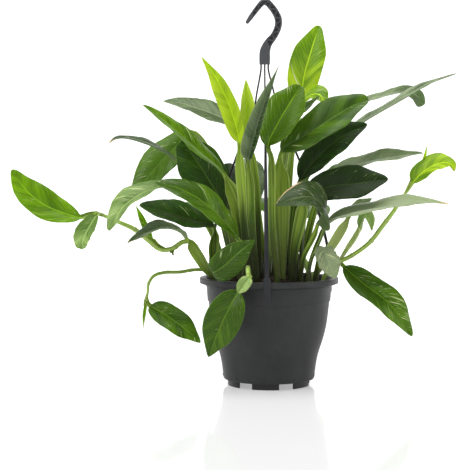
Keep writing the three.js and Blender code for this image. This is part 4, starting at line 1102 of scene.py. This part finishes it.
def chip(bm, draw, crumble):
    """One loose chip, tilted and half sunk in."""
    radius = CRUMB_REACH * math.sqrt(draw.random())
    x, y, _ = around(radius, draw.uniform(0, 2 * math.pi), 0)
    size = draw.choice(CRUMB_SIZES)
    made = bmesh.ops.create_icosphere(bm, subdivisions=1, radius=1.0)["verts"]
    stretch = (draw.uniform(0.8, 2.0), draw.uniform(0.6, 1.1), draw.uniform(0.35, 0.8))
    for vert in made:
        shake = draw.uniform(0.75, 1.2)
        vert.co = Vector([vert.co[k] * stretch[k] * size * shake for k in range(3)])
    tilt = Euler((draw.uniform(-0.6, 0.6), draw.uniform(-0.6, 0.6), draw.uniform(0, 6.3))).to_matrix()
    spot = Vector((x, y, soil_height(x, y) + crumble(x, y) + 0.2 * size))
    for vert in made:
        vert.co = tilt @ vert.co + spot


# Hanger: the hook's middle line from tip to block as (x, z, half width)
HOOK_LINE = [
    (-0.0234, 0.3898, 0.0019), (-0.02, 0.3946, 0.0025), (-0.0126, 0.4044, 0.0028),
    (-0.0064, 0.4108, 0.0031), (-0.0024, 0.4104, 0.0035), (0.0018, 0.4063, 0.0035),
    (0.0064, 0.4, 0.0036), (0.0096, 0.3926, 0.0038), (0.0093, 0.3846, 0.0038), (0.005, 0.375, 0.0037),
    (-0.001, 0.3674, 0.0044), (-0.0046, 0.3586, 0.0056), (HANGER_X, 0.351, 0.0058),
    (HANGER_X, BLOCK_BOTTOM, 0.0056),
]
HOOK_STEPS = 150
TIP_STEPS = 6

# Pockets stand in a row along the hook, at shares of its length, and point to either edge in turn.
# POCKET_SHARE is the share of the half width that they reach. POCKET_ROWS is (depth, size).
POCKET_COUNT = 14
POCKET_START = 0.08
POCKET_PITCH = 0.05
POCKET_BASE = 0.072
POCKET_SHARE = 0.66
POCKET_DEPTH = 0.0029
POCKET_CORNER = 0.11
POCKET_ROUNDING = 0.05
POCKET_ROWS = ((-0.001, 1.04), (0.0, 1.0), (POCKET_DEPTH, 0.82))


class HookLine:
    def __init__(self):
        self.places, self.tangents = spline(np.array([(x, 0, z) for x, z, _ in HOOK_LINE]), 20)
        lengths = running(np.linalg.norm(np.diff(self.places, axis=0), axis=1))
        self.shares = lengths / lengths[-1]
        given = [half for _, _, half in HOOK_LINE]
        self.halves = np.interp(np.linspace(0, 1, len(self.places)), np.linspace(0, 1, len(given)), given)

    def read(self, share):
        """The place, sideways direction, tangent and half width at a share of the length."""
        def along(values):
            return np.interp(share, self.shares, values)

        spot = Vector([along(self.places[:, k]) for k in range(3)])
        tangent = Vector([along(self.tangents[:, k]) for k in range(3)]).normalized()
        return spot, Vector((-tangent.z, 0, tangent.x)), tangent, along(self.halves)

    def edge(self, share, side):
        """A point beside the middle line, side half widths away from it."""
        spot, across, _, half = self.read(share)
        return spot + across * half * side


def hook_rings(line):
    """The hook's outline at each step, with a rounded tip."""
    rings = []
    for i in range(-TIP_STEPS, HOOK_STEPS + 1):
        spot, across, tangent, half = line.read(max(i, 0) / HOOK_STEPS)
        shrink = 1.0
        if i < 0:
            round_tip = -i / TIP_STEPS * math.pi / 2
            spot = spot - tangent * half * math.sin(round_tip)
            shrink = max(0.25, math.cos(round_tip))
        wide = half * shrink
        thick = HOOK_THICKNESS / 2 * lerp(1, shrink, 0.35)
        outline = rounded_box(wide, thick, min(HOOK_CORNER, wide * 0.6))
        rings.append(laid(outline, spot, across, Vector((0, 1, 0))))
    return rings


def pocket(bm, corners, face):
    """A triangular pocket that narrows as it goes in."""
    middle = sum(corners, Vector()) / 3
    points = []
    for i, corner in enumerate(corners):
        back, ahead = corners[i - 1], corners[(i + 1) % 3]
        points += [corner.lerp(back, POCKET_CORNER), corner.lerp((back + ahead) / 2, POCKET_ROUNDING),
                   corner.lerp(ahead, POCKET_CORNER)]
    rows = []
    for depth, shrink in POCKET_ROWS:
        level = Vector((middle.x, face * (HOOK_THICKNESS / 2 - depth), middle.z))
        rows.append([level + (point - middle) * shrink for point in points])
    join_rings(bm, rows)


def make_hook():
    line = HookLine()
    bm = bmesh.new()
    join_rings(bm, hook_rings(line))
    piece = place("hook_moulding", mesh_from(bm, "hook_moulding"))
    tools = bmesh.new()
    for index in range(POCKET_COUNT):
        start = POCKET_START + index * POCKET_PITCH
        side = POCKET_SHARE if index % 2 else -POCKET_SHARE
        corners = [line.edge(start, side), line.edge(start + POCKET_BASE, side),
                   line.edge(start + POCKET_BASE / 2, -side)]
        for face in (-1, 1):
            pocket(tools, corners, face)
    for _, (x, y) in ARMS.values():
        rod(tools, SOCKET_RADIUS, 2 * SOCKET_DEPTH, (HANGER_X + x, y, BLOCK_BOTTOM), 20)
    cut(piece, mesh_from(tools, "pockets"))
    bevel = piece.modifiers.new("edges", "BEVEL")
    bevel.width = HOOK_EDGE
    bevel.segments = 2
    bevel.limit_method = "ANGLE"
    bevel.angle_limit = math.radians(50)
    bake(piece)
    shade(piece.data, 40)
    piece.data.materials.append(hook_material_painted_light())
    settle(piece, "hanger_plastic", "hanger_hook")


# Arms: thin straps that bow out from the block and end in a clip on the rim. Each has the way it
# turns and its socket's place under the block. ARM_BOW is (height, distance from the line between
# the block and the middle of the pot).
ARMS = {
    "hanger_arm_front": (math.radians(-93), (0.0, -0.0019)),
    "hanger_arm_right": (math.radians(27), (0.0039, 0.001)),
    "hanger_arm_left": (math.radians(147), (-0.0039, 0.001)),
}
ARM_BOW = [
    (0.315, 0.0105), (0.298, 0.0145), (0.243, 0.040), (0.205, 0.056), (0.166, 0.0695), (0.136, 0.0756),
]
ARM_STEPS = 90


def arm_line(turn, socket):
    out = np.array(around(1.0, turn, 0.0))
    x, y = socket
    top = BLOCK_BOTTOM + SOCKET_DEPTH - ARM_END_GAP
    points = [(HANGER_X + x, y, z) for z in (top, BLOCK_BOTTOM, BLOCK_BOTTOM - ARM_NECK)]
    for height, radius in ARM_BOW:
        drift = HANGER_X * (height - TAB_TOP) / (BLOCK_BOTTOM - TAB_TOP)
        points.append(out * radius + (drift, 0, height))
    tab_middle = RIM_RADIUS + TAB_CLEARANCE + TAB_THICKNESS / 2
    points.append(out * tab_middle + (0, 0, TAB_TOP - ARM_OVERLAP))
    return Line(points, 0, out)


def make_arm(name, turn, socket):
    line = arm_line(turn, socket)
    distance = np.linspace(0, line.whole, ARM_STEPS)
    widths = lerp(ARM_RADIUS, ARM_SPREAD, smoothstep(distance / line.whole, 0.12, 0.9))
    rings = []
    for half, spot, normal, side in zip(widths, *line.frames(distance)):
        rings.append(laid(rounded_box(half, ARM_RADIUS * 0.95, ARM_CORNER, 3), spot, side, normal))
    bm = bmesh.new()
    join_rings(bm, rings)
    clip(bm, turn)
    mesh = mesh_from(bm, name + "_strap")
    mesh.materials.append(arm_material_painted_shade())
    settle(place(name + "_strap", mesh), "hanger_plastic", name)


def clip(bm, turn):
    """The flat tab over the rim, with the tooth that catches under the lip."""
    inner, outer = RIM_RADIUS + TAB_CLEARANCE, RIM_RADIUS + TAB_CLEARANCE + TAB_THICKNESS
    tooth = inner - TOOTH_REACH
    levels = [POT_HEIGHT - LIP_HEIGHT - drop for drop in TOOTH_LEVELS]
    outline = [
        (inner, TAB_TOP), *zip((inner, tooth, tooth, inner), levels), (inner, TAB_BOTTOM + TAB_CORNER),
        (inner + TAB_CORNER, TAB_BOTTOM), (outer - TAB_CORNER, TAB_BOTTOM),
        (outer, TAB_BOTTOM + TAB_CORNER), (outer, TAB_TOP - 2 * TAB_CORNER),
    ]
    across = Vector((-math.sin(turn), math.cos(turn), 0))
    rings = []
    for share, rounding in ((-1.0, 0.3), (-0.9, 0.0), (0.9, 0.0), (1.0, 0.3)):
        shift = across * share * TAB_WIDTH / 2
        rings.append([Vector(around(lerp(radius, (inner + outer) / 2, rounding), turn, z)) + shift
                      for radius, z in outline])
    join_rings(bm, rings)


# Finishes: every material is a small tree of nodes, put together by short calls
class Finish:
    def __init__(self, name, **values):
        self.material = bpy.data.materials.new(name)
        self.material.use_nodes = True
        self.tree = self.material.node_tree
        self.shader = self.tree.nodes["Principled BSDF"]
        for socket, value in values.items():
            self.shader.inputs[socket.replace("_", " ")].default_value = value

    def node(self, kind, *inputs, **settings):
        made = self.tree.nodes.new(kind)
        for key, value in settings.items():
            setattr(made, key, value)
        for socket, value in zip(made.inputs, inputs):
            self.feed(socket, value)
        return made

    def feed(self, socket, value):
        if isinstance(value, bpy.types.NodeSocket):
            self.tree.links.new(value, socket)
        else:
            socket.default_value = value

    def math(self, operation, *values):
        return self.node("ShaderNodeMath", *values, operation=operation).outputs[0]

    def times(self, *values):
        return functools.reduce(functools.partial(self.math, "MULTIPLY"), values)

    def plus(self, *values):
        return functools.reduce(functools.partial(self.math, "ADD"), values)

    def clamp(self, value):
        return self.math("MAXIMUM", self.math("MINIMUM", value, 1.0), 0.0)

    def band(self, value, low, high, bottom=0.0, top=1.0):
        """Runs smoothly from bottom to top as the value goes from low to high."""
        limits = (low, high, bottom, top)
        made = self.node("ShaderNodeMapRange", value, *limits, interpolation_type="SMOOTHSTEP")
        return made.outputs[0]

    def mix(self, factor, a, b):
        made = self.node("ShaderNodeMix", data_type="RGBA")
        for index, value in ((0, factor), (6, a), (7, b)):
            self.feed(made.inputs[index], (*value, 1.0) if isinstance(value, tuple) else value)
        return made.outputs[2]

    def vector(self, x, y, z):
        return self.node("ShaderNodeCombineXYZ", x, y, z).outputs[0]

    def parts(self, attribute):
        read = self.node("ShaderNodeAttribute", attribute_name=attribute)
        return self.node("ShaderNodeSeparateXYZ", read.outputs["Vector"]).outputs

    def place(self):
        return self.node("ShaderNodeTexCoord").outputs["Object"]

    def noise(self, vector, scale=1.0, detail=2.0, roughness=0.5):
        made = self.node("ShaderNodeTexNoise")
        given = {"Vector": vector, "Scale": scale, "Detail": detail, "Roughness": roughness}
        for key, value in given.items():
            self.feed(made.inputs[key], value)
        return made.outputs["Fac"]

    def finish(self, color, roughness, height, distance):
        bump = self.node("ShaderNodeBump")
        bump.inputs["Strength"].default_value = 1.0
        bump.inputs["Distance"].default_value = distance
        self.feed(bump.inputs["Height"], height)
        self.feed(self.shader.inputs["Base Color"], color)
        self.feed(self.shader.inputs["Roughness"], roughness)
        self.feed(self.shader.inputs["Normal"], bump.outputs["Normal"])
        return self.material


def tone(slot, dark, light, gloss):
    """The record's slot, the two colours that a blade is mottled with, and its roughness."""
    return {"slot": slot, "dark": dark, "light": light, "gloss": gloss}


TONES = {
    "mature": tone("leaf_mature", (0.012, 0.028, 0.002), (0.055, 0.112, 0.006), 0.27),
    # Painted shade: a green darker than the leaves' own, for leaves that stand in the shade of others, and
    # rougher so that they show less gloss
    "deep_painted_shade": tone("leaf_mature", (0.006, 0.014, 0.001), (0.022, 0.048, 0.003), 0.42),
    # Painted sheen and painted shade: a light grey for the lit half of a folded leaf and a dark green for
    # its shaded half
    "sheen": tone("leaf_mature", (0.018, 0.046, 0.004), (0.220, 0.260, 0.170), 0.27),
    "fresh": tone("leaf_fresh", (0.040, 0.092, 0.002), (0.165, 0.320, 0.004), 0.28),
    "young": tone("leaf_young", (0.060, 0.150, 0.003), (0.430, 0.610, 0.016), 0.30),
    "streaked": tone("leaf_streaked", (0.024, 0.056, 0.002), (0.092, 0.185, 0.008), 0.27),
    "pale": tone("leaf_pale", (0.070, 0.130, 0.020), (0.270, 0.380, 0.120), 0.30),
    # A greyer green: partly the leaves' own colour, partly painted sheen for leaves seen edge-on
    "grey": tone("leaf_grey", (0.020, 0.038, 0.009), (0.090, 0.130, 0.045), 0.26),
    # Silvery grey-green: partly the leaves' own paler colour, partly painted sheen for leaves that catch
    # the light edge-on
    "silver_and_painted_sheen": tone("leaf_grey", (0.050, 0.078, 0.030), (0.200, 0.245, 0.130), 0.30),
    "root": tone("stem_green", (0.10, 0.07, 0.03), (0.20, 0.15, 0.07), 0.6),
}
TONES["sheath"] = TONES["pale"]
CREAM = (0.62, 0.66, 0.36)
PALED = (0.52, 0.60, 0.36)
UNDERSIDE = (0.20, 0.27, 0.13)
DRY_CREAM = (0.62, 0.47, 0.27)
DRY_BROWN = (0.17, 0.08, 0.03)
STALK_DARK = (0.050, 0.105, 0.008)
STALK_LIGHT = (0.250, 0.370, 0.040)
# Near black at a stalk's foot: partly the sheath base's own darker colour, partly painted shade
STALK_BASE_AND_SHADE = (0.018, 0.022, 0.006)
WING_EDGE_COLOR = (0.46, 0.54, 0.20)
STEM_DARK = (0.18, 0.31, 0.03)
STEM_LIGHT = (0.42, 0.57, 0.11)
STEM_FLECK = (0.52, 0.58, 0.30)
STEM_NODE = (0.30, 0.28, 0.13)
LIVING = {"Subsurface_Scale": 0.004, "Subsurface_Radius": (0.5, 1.0, 0.2)}
LEAF_BUMP = 0.00025
STEM_BUMP = 0.0002
PLASTIC_BUMP = 0.00012
SOIL_BUMP = 0.0009


@functools.cache
def leaf_material(tone_name):
    tint = TONES[tone_name]
    f = Finish("fine_leaf_" + tone_name, Subsurface_Weight=0.12, Specular_IOR_Level=0.17, **LIVING)
    along, across, under = f.parts("leaf")
    forward, sideways, seed = f.parts("reach")
    dry, glow, streak = f.parts("look")
    edge = f.math("ABSOLUTE", across)
    aside = f.math("ABSOLUTE", sideways)
    rise = f.plus(f.times(aside, VEIN_RISE), f.times(f.times(aside, aside), VEIN_BEND))
    vein = f.math("SUBTRACT", forward, rise)
    page = f.plus(f.times(seed, 7.3), f.times(f.math("SIGN", sideways), 3.1))
    blade = f.band(along, -0.03, 0.012)
    lighter = tuple(min(1.0, value * 1.45 + 0.006) for value in tint["light"])

    def along_veins(pitch, reach):
        """A noise place whose grain is drawn out along the veins."""
        return f.vector(f.times(vein, pitch), f.times(aside, reach), page)

    # Mottled greens
    mottle = f.noise(along_veins(60, 22), 1.0, 3.0, 0.55)
    green = f.plus(f.band(mottle, 0.24, 0.76), f.math("MULTIPLY_ADD", glow, 1.6, -0.8))
    color = f.mix(f.clamp(green), tint["dark"], tint["light"])
    grain = f.noise(along_veins(900, 150), 1.0, 2.0, 0.6)
    color = f.mix(f.band(grain, 0.3, 0.75, 0.0, 0.2), color, tint["light"])

    # Light lines over the veins, with finer ones between them
    firm = f.times(blade, f.times(f.band(edge, 0.03, 0.14), f.band(edge, 0.98, 0.8)))
    wave = f.math("SINE", f.times(vein, 2 * math.pi / VEIN_SPACING))
    lines = f.times(f.band(wave, 0.90, 1.0), firm)
    fine = f.times(f.math("SINE", f.times(vein, 2 * math.pi * 5 / VEIN_SPACING)), blade)
    color = f.mix(f.times(lines, 0.22), color, lighter)
    color = f.mix(f.times(f.band(fine, 0.5, 1.0), 0.07), color, lighter)

    # Cream streaks and flecks, in patches
    patch = f.noise(f.vector(f.times(forward, 24), f.times(sideways, 34), page), 1.0, 1.0)
    patch = f.band(patch, 0.42, 0.58)
    bars = f.plus(f.noise(along_veins(330, 34), 1.0, 2.5, 0.6), f.times(streak, 0.1))
    bars = f.band(bars, 0.67, 0.72)
    flecks = f.plus(f.noise(along_veins(1000, 210), 1.0, 1.0), f.times(streak, 0.06))
    flecks = f.band(flecks, 0.70, 0.77)
    cream = f.math("MAXIMUM", f.times(bars, patch), f.times(flecks, patch, 0.8))
    cream = f.times(cream, firm, f.band(mottle, 0.35, 0.6, 0.4, 0.9))
    color = f.mix(cream, color, CREAM)
    color = f.mix(f.band(glow, 1.0, 1.5, 0.0, 0.85), color, PALED)

    # Rib, margin and underside
    rib = f.times(f.band(aside, 0.0010, 0.0003), f.band(along, 1.0, 0.7))
    color = f.mix(f.times(rib, 0.65), color, lighter)
    color = f.mix(f.band(edge, 0.965, 0.998, 0.0, 0.55), color, lighter)
    pale = tuple(lerp(light, plain, 0.45) for light, plain in zip(tint["light"], UNDERSIDE))
    color = f.mix(f.times(under, 0.7), color, pale)

    # Stalk: stripes and fibres, pale wing edges and a foot that darkens towards the soil, partly its own
    # darker sheath base and partly painted shade down among the stalks
    strands = f.vector(f.times(across, 2.4), f.times(forward, 7.0), f.times(seed, 5.1))
    stripes = f.band(f.noise(strands, 1.0, 2.0, 0.6), 0.34, 0.66)
    stripes = f.clamp(f.plus(stripes, f.math("MULTIPLY_ADD", glow, 1.2, -0.6)))
    fibres = f.noise(f.vector(f.times(across, 14.0), f.times(forward, 12.0), seed), 1.0, 3.0, 0.6)
    stalk = f.mix(stripes, STALK_DARK, STALK_LIGHT)
    stalk = f.mix(f.band(fibres, 0.45, 0.8, 0.0, 0.25), stalk, WING_EDGE_COLOR)
    stalk = f.mix(f.band(fibres, 0.55, 0.25, 0.0, 0.22), stalk, STALK_DARK)
    stalk = f.mix(f.band(edge, 0.88, 0.97, 0.0, 0.75), stalk, WING_EDGE_COLOR)
    stalk = f.mix(f.band(glow, 1.0, 1.4, 0.0, 0.85), stalk, WING_EDGE_COLOR)
    # Painted shade towards the soil, weaker on pale stalks
    shaded = f.math("MINIMUM", f.math("SUBTRACT", 1.5, glow), 1.0)
    stalk = f.mix(f.times(f.band(along, -0.32, -0.88, 0.0, 0.9), shaded), stalk, STALK_BASE_AND_SHADE)
    color = f.mix(blade, stalk, color)

    # Dried tips and margins
    color = f.mix(f.band(dry, 0.05, 0.55), color, DRY_CREAM)
    brown = f.plus(dry, f.times(f.math("SUBTRACT", grain, 0.5), 0.6))
    color = f.mix(f.band(brown, 0.6, 0.95), color, DRY_BROWN)

    roughness = f.plus(f.band(grain, 0.2, 0.8, tint["gloss"] - 0.04, tint["gloss"] + 0.08),
                       f.times(f.math("MAXIMUM", under, f.band(dry, 0.2, 0.8)), 0.14))
    grooves = f.times(fibres, f.math("SUBTRACT", 1.0, blade), 1.2)
    height = f.plus(f.times(lines, -0.6), grooves, f.times(fine, 0.05), f.times(grain, 0.3))
    return f.finish(color, roughness, height, LEAF_BUMP)


@functools.cache
def stem_material():
    f = Finish("fine_stem", Subsurface_Weight=0.15, Coat_Weight=0.1, Coat_Roughness=0.3, **LIVING)
    distance, round_about, seed = f.parts("reach")
    node_ring = f.parts("look")[0]
    stripes = f.noise(f.vector(f.times(distance, 16), f.times(round_about, 700), seed), 1.0, 3.0, 0.6)
    color = f.mix(f.band(stripes, 0.32, 0.68), STEM_DARK, STEM_LIGHT)
    flecks = f.noise(f.vector(f.times(distance, 260), f.times(round_about, 900), seed))
    color = f.mix(f.band(flecks, 0.62, 0.7, 0.0, 0.6), color, STEM_FLECK)
    color = f.mix(f.band(node_ring, 0.1, 0.35, 0.0, 0.4), color, STEM_NODE)
    height = f.plus(f.times(stripes, 0.8), f.times(flecks, 0.3))
    return f.finish(color, f.band(flecks, 0.2, 0.8, 0.38, 0.5), height, STEM_BUMP)


def plastic(name, low, high, gloss, grain):
    """Moulded plastic, clouded between two greys, with a fine grain and a few scuffs."""
    f = Finish(name, Specular_IOR_Level=0.25)
    spot = f.place()
    cloud = f.noise(spot, 38, 4.0, 0.6)
    speck = f.noise(spot, grain, 2.0, 0.6)
    scuff = f.noise(spot, 190, 5.0, 0.7)
    color = f.mix(f.band(cloud, 0.3, 0.7), low, high)
    color = f.mix(f.band(speck, 0.35, 0.75, 0.0, 0.35), color, tuple(1.5 * value for value in high))
    color = f.mix(f.band(scuff, 0.66, 0.78, 0.0, 0.3), color, tuple(2.2 * value for value in high))
    roughness = f.plus(f.band(cloud, 0.3, 0.7, gloss - 0.04, gloss + 0.05),
                       f.band(scuff, 0.6, 0.8, 0.0, 0.1))
    height = f.plus(f.times(speck, 0.7), f.times(scuff, 0.5))
    return f.finish(color, roughness, height, PLASTIC_BUMP)


@functools.cache
def pot_material():
    return plastic("fine_pot", (0.018, 0.019, 0.019), (0.027, 0.028, 0.028), 0.44, 1500)


# Painted light: the hook is the arms' plastic, made lighter for standing in the open.
def hook_material_painted_light():
    return plastic("fine_hook_painted_light", (0.050, 0.051, 0.055), (0.072, 0.073, 0.079), 0.40, 1900)


# Painted shade: the arms are the hook's plastic, made far darker for running down among the leaves.
@functools.cache
def arm_material_painted_shade():
    return plastic("fine_arm_painted_shade", (0.012, 0.012, 0.014), (0.020, 0.021, 0.024), 0.40, 1900)


def soil_material():
    f = Finish("fine_soil", Specular_IOR_Level=0.25)
    spot = f.place()
    lumps = f.noise(spot, 260, 5.0, 0.65)
    crumb = f.noise(spot, 900, 4.0, 0.7)
    bark = f.noise(spot, 420, 1.0, 0.4)
    color = f.mix(f.band(lumps, 0.32, 0.68), (0.006, 0.004, 0.003), (0.034, 0.021, 0.012))
    color = f.mix(f.band(bark, 0.62, 0.68, 0.0, 0.8), color, (0.085, 0.045, 0.020))
    color = f.mix(f.band(crumb, 0.66, 0.74, 0.0, 0.5), color, (0.16, 0.12, 0.08))
    height = f.plus(lumps, f.times(crumb, 0.8))
    return f.finish(color, f.band(crumb, 0.3, 0.7, 0.8, 0.98), height, SOIL_BUMP)


# Stage: a pale floor that sweeps up behind the plant, soft lights and the photograph's view
FLOOR_NEAR = -7.0
FLOOR_FAR = 2.2
FLOOR_HALF_WIDTH = 7.0
FLOOR_DARK = (0.49, 0.49, 0.49)
FLOOR_LIGHT = (0.52, 0.52, 0.52)
FLOOR_ROUGHNESS = 0.07
SWEEP_RADIUS = 1.2
SWEEP_STEPS = 24
WALL_TOP = 3.6

# The floor's glow grows with the distance, from GLOW_NEAR to GLOW_FAR. The sky's fades upward,
# from SKY_LOW to SKY_HIGH.
FLOOR_GLOW = 0.37
WALL_GLOW = 1.0
GLOW_NEAR = 0.5
GLOW_FAR = 1.8
HORIZON_GLOW = 0.95
SKY_GLOW = 0.12
SKY_LOW = 0.08
SKY_HIGH = 0.3

LIGHT_AIM = (0, 0, 0.18)
LIGHTS = {
    "key": dict(spot=(-1.3, -0.9, 1.3), size=(1.2, 1.2), power=22),
    "fill": dict(spot=(1.4, -0.5, 0.6), size=(0.8, 1.4), power=8),
    "top": dict(spot=(-0.2, -0.3, 1.9), size=(1.6, 1.2), power=36),
}
SENSOR_WIDTH = 36.0
VIEW_END = 20.0


def floor_mesh():
    outline = [(FLOOR_NEAR, 0.0)]
    for i in range(SWEEP_STEPS + 1):
        angle = math.pi / 2 * i / SWEEP_STEPS
        outline.append((FLOOR_FAR + SWEEP_RADIUS * math.sin(angle), SWEEP_RADIUS * (1 - math.cos(angle))))
    outline.append((FLOOR_FAR + SWEEP_RADIUS, WALL_TOP))
    points = [(x, y, z) for y, z in outline for x in (-FLOOR_HALF_WIDTH, FLOOR_HALF_WIDTH)]
    faces = [(k, k + 1, k + 3, k + 2) for k in range(0, len(points) - 2, 2)]
    mesh = bpy.data.meshes.new("floor")
    mesh.from_pydata(points, [], faces)
    mesh.polygons.foreach_set("use_smooth", [True] * len(mesh.polygons))
    return mesh


def floor_material():
    f = Finish("floor", Roughness=FLOOR_ROUGHNESS, Specular_IOR_Level=0.5, Emission_Color=(1, 1, 1, 1))
    color = f.mix(f.noise(f.place(), 3.0), FLOOR_DARK, FLOOR_LIGHT)
    f.feed(f.shader.inputs["Base Color"], color)
    reach = f.node("ShaderNodeVectorMath", f.place(), operation="LENGTH").outputs["Value"]
    glow = f.band(reach, GLOW_NEAR, GLOW_FAR, FLOOR_GLOW, WALL_GLOW)
    f.feed(f.shader.inputs["Emission Strength"], glow)
    return f.material


def make_stage():
    mesh = floor_mesh()
    mesh.materials.append(floor_material())
    place("floor", mesh)


def soft_light(name, spot, size, power):
    light = bpy.data.lights.new(name, "AREA")
    light.shape = "RECTANGLE"
    light.size, light.size_y = size
    light.energy = power
    lamp = place(name, light)
    lamp.location = Vector(spot) + Vector(POT_AXIS)
    aim = Vector(POT_AXIS) + Vector(LIGHT_AIM)
    lamp.rotation_euler = (aim - lamp.location).to_track_quat("-Z", "Y").to_euler()


def make_world():
    """A sky that is bright at the horizon and dim above."""
    world = bpy.data.worlds.new("studio")
    world.use_nodes = True
    tree = world.node_tree
    way = tree.nodes.new("ShaderNodeSeparateXYZ")
    fade = tree.nodes.new("ShaderNodeMapRange")
    limits = {"From Min": SKY_LOW, "From Max": SKY_HIGH, "To Min": HORIZON_GLOW, "To Max": SKY_GLOW}
    for socket, value in limits.items():
        fade.inputs[socket].default_value = value
    tree.links.new(tree.nodes.new("ShaderNodeTexCoord").outputs["Generated"], way.inputs["Vector"])
    tree.links.new(way.outputs["Z"], fade.inputs["Value"])
    tree.links.new(fade.outputs["Result"], tree.nodes["Background"].inputs["Strength"])
    tree.nodes["Background"].inputs["Color"].default_value = (1.0, 1.0, 1.0, 1.0)
    bpy.context.scene.world = world
    bpy.context.scene.view_settings.view_transform = "Standard"


def make_camera():
    camera = bpy.data.cameras.new("view")
    camera.lens = LENS
    camera.sensor_width = SENSOR_WIDTH
    camera.clip_end = VIEW_END
    eye = place("view", camera)
    eye.location = Vector(EYE + POT_AXIS)
    eye.rotation_euler = Vector(AIM - EYE).to_track_quat("-Z", "Y").to_euler()
    bpy.context.scene.camera = eye


make_camera()
make_stage()
make_world()
for light_name, light in LIGHTS.items():
    soft_light(light_name, **light)
make_pot()
make_soil()
make_hook()
for arm_name, (turn, socket) in ARMS.items():
    make_arm(arm_name, turn, socket)

# Each leaf and stem has a seed of its own, so that no two are marked alike
for number, (leaf_name, leaf) in enumerate(LEAVES.items()):
    make_leaf(leaf_name, leaf, 0.61 * number + 0.2)
for number, (stem_name, stem) in enumerate(STEMS.items()):
    make_stem(stem_name, stem, 0.83 * number + 0.5)
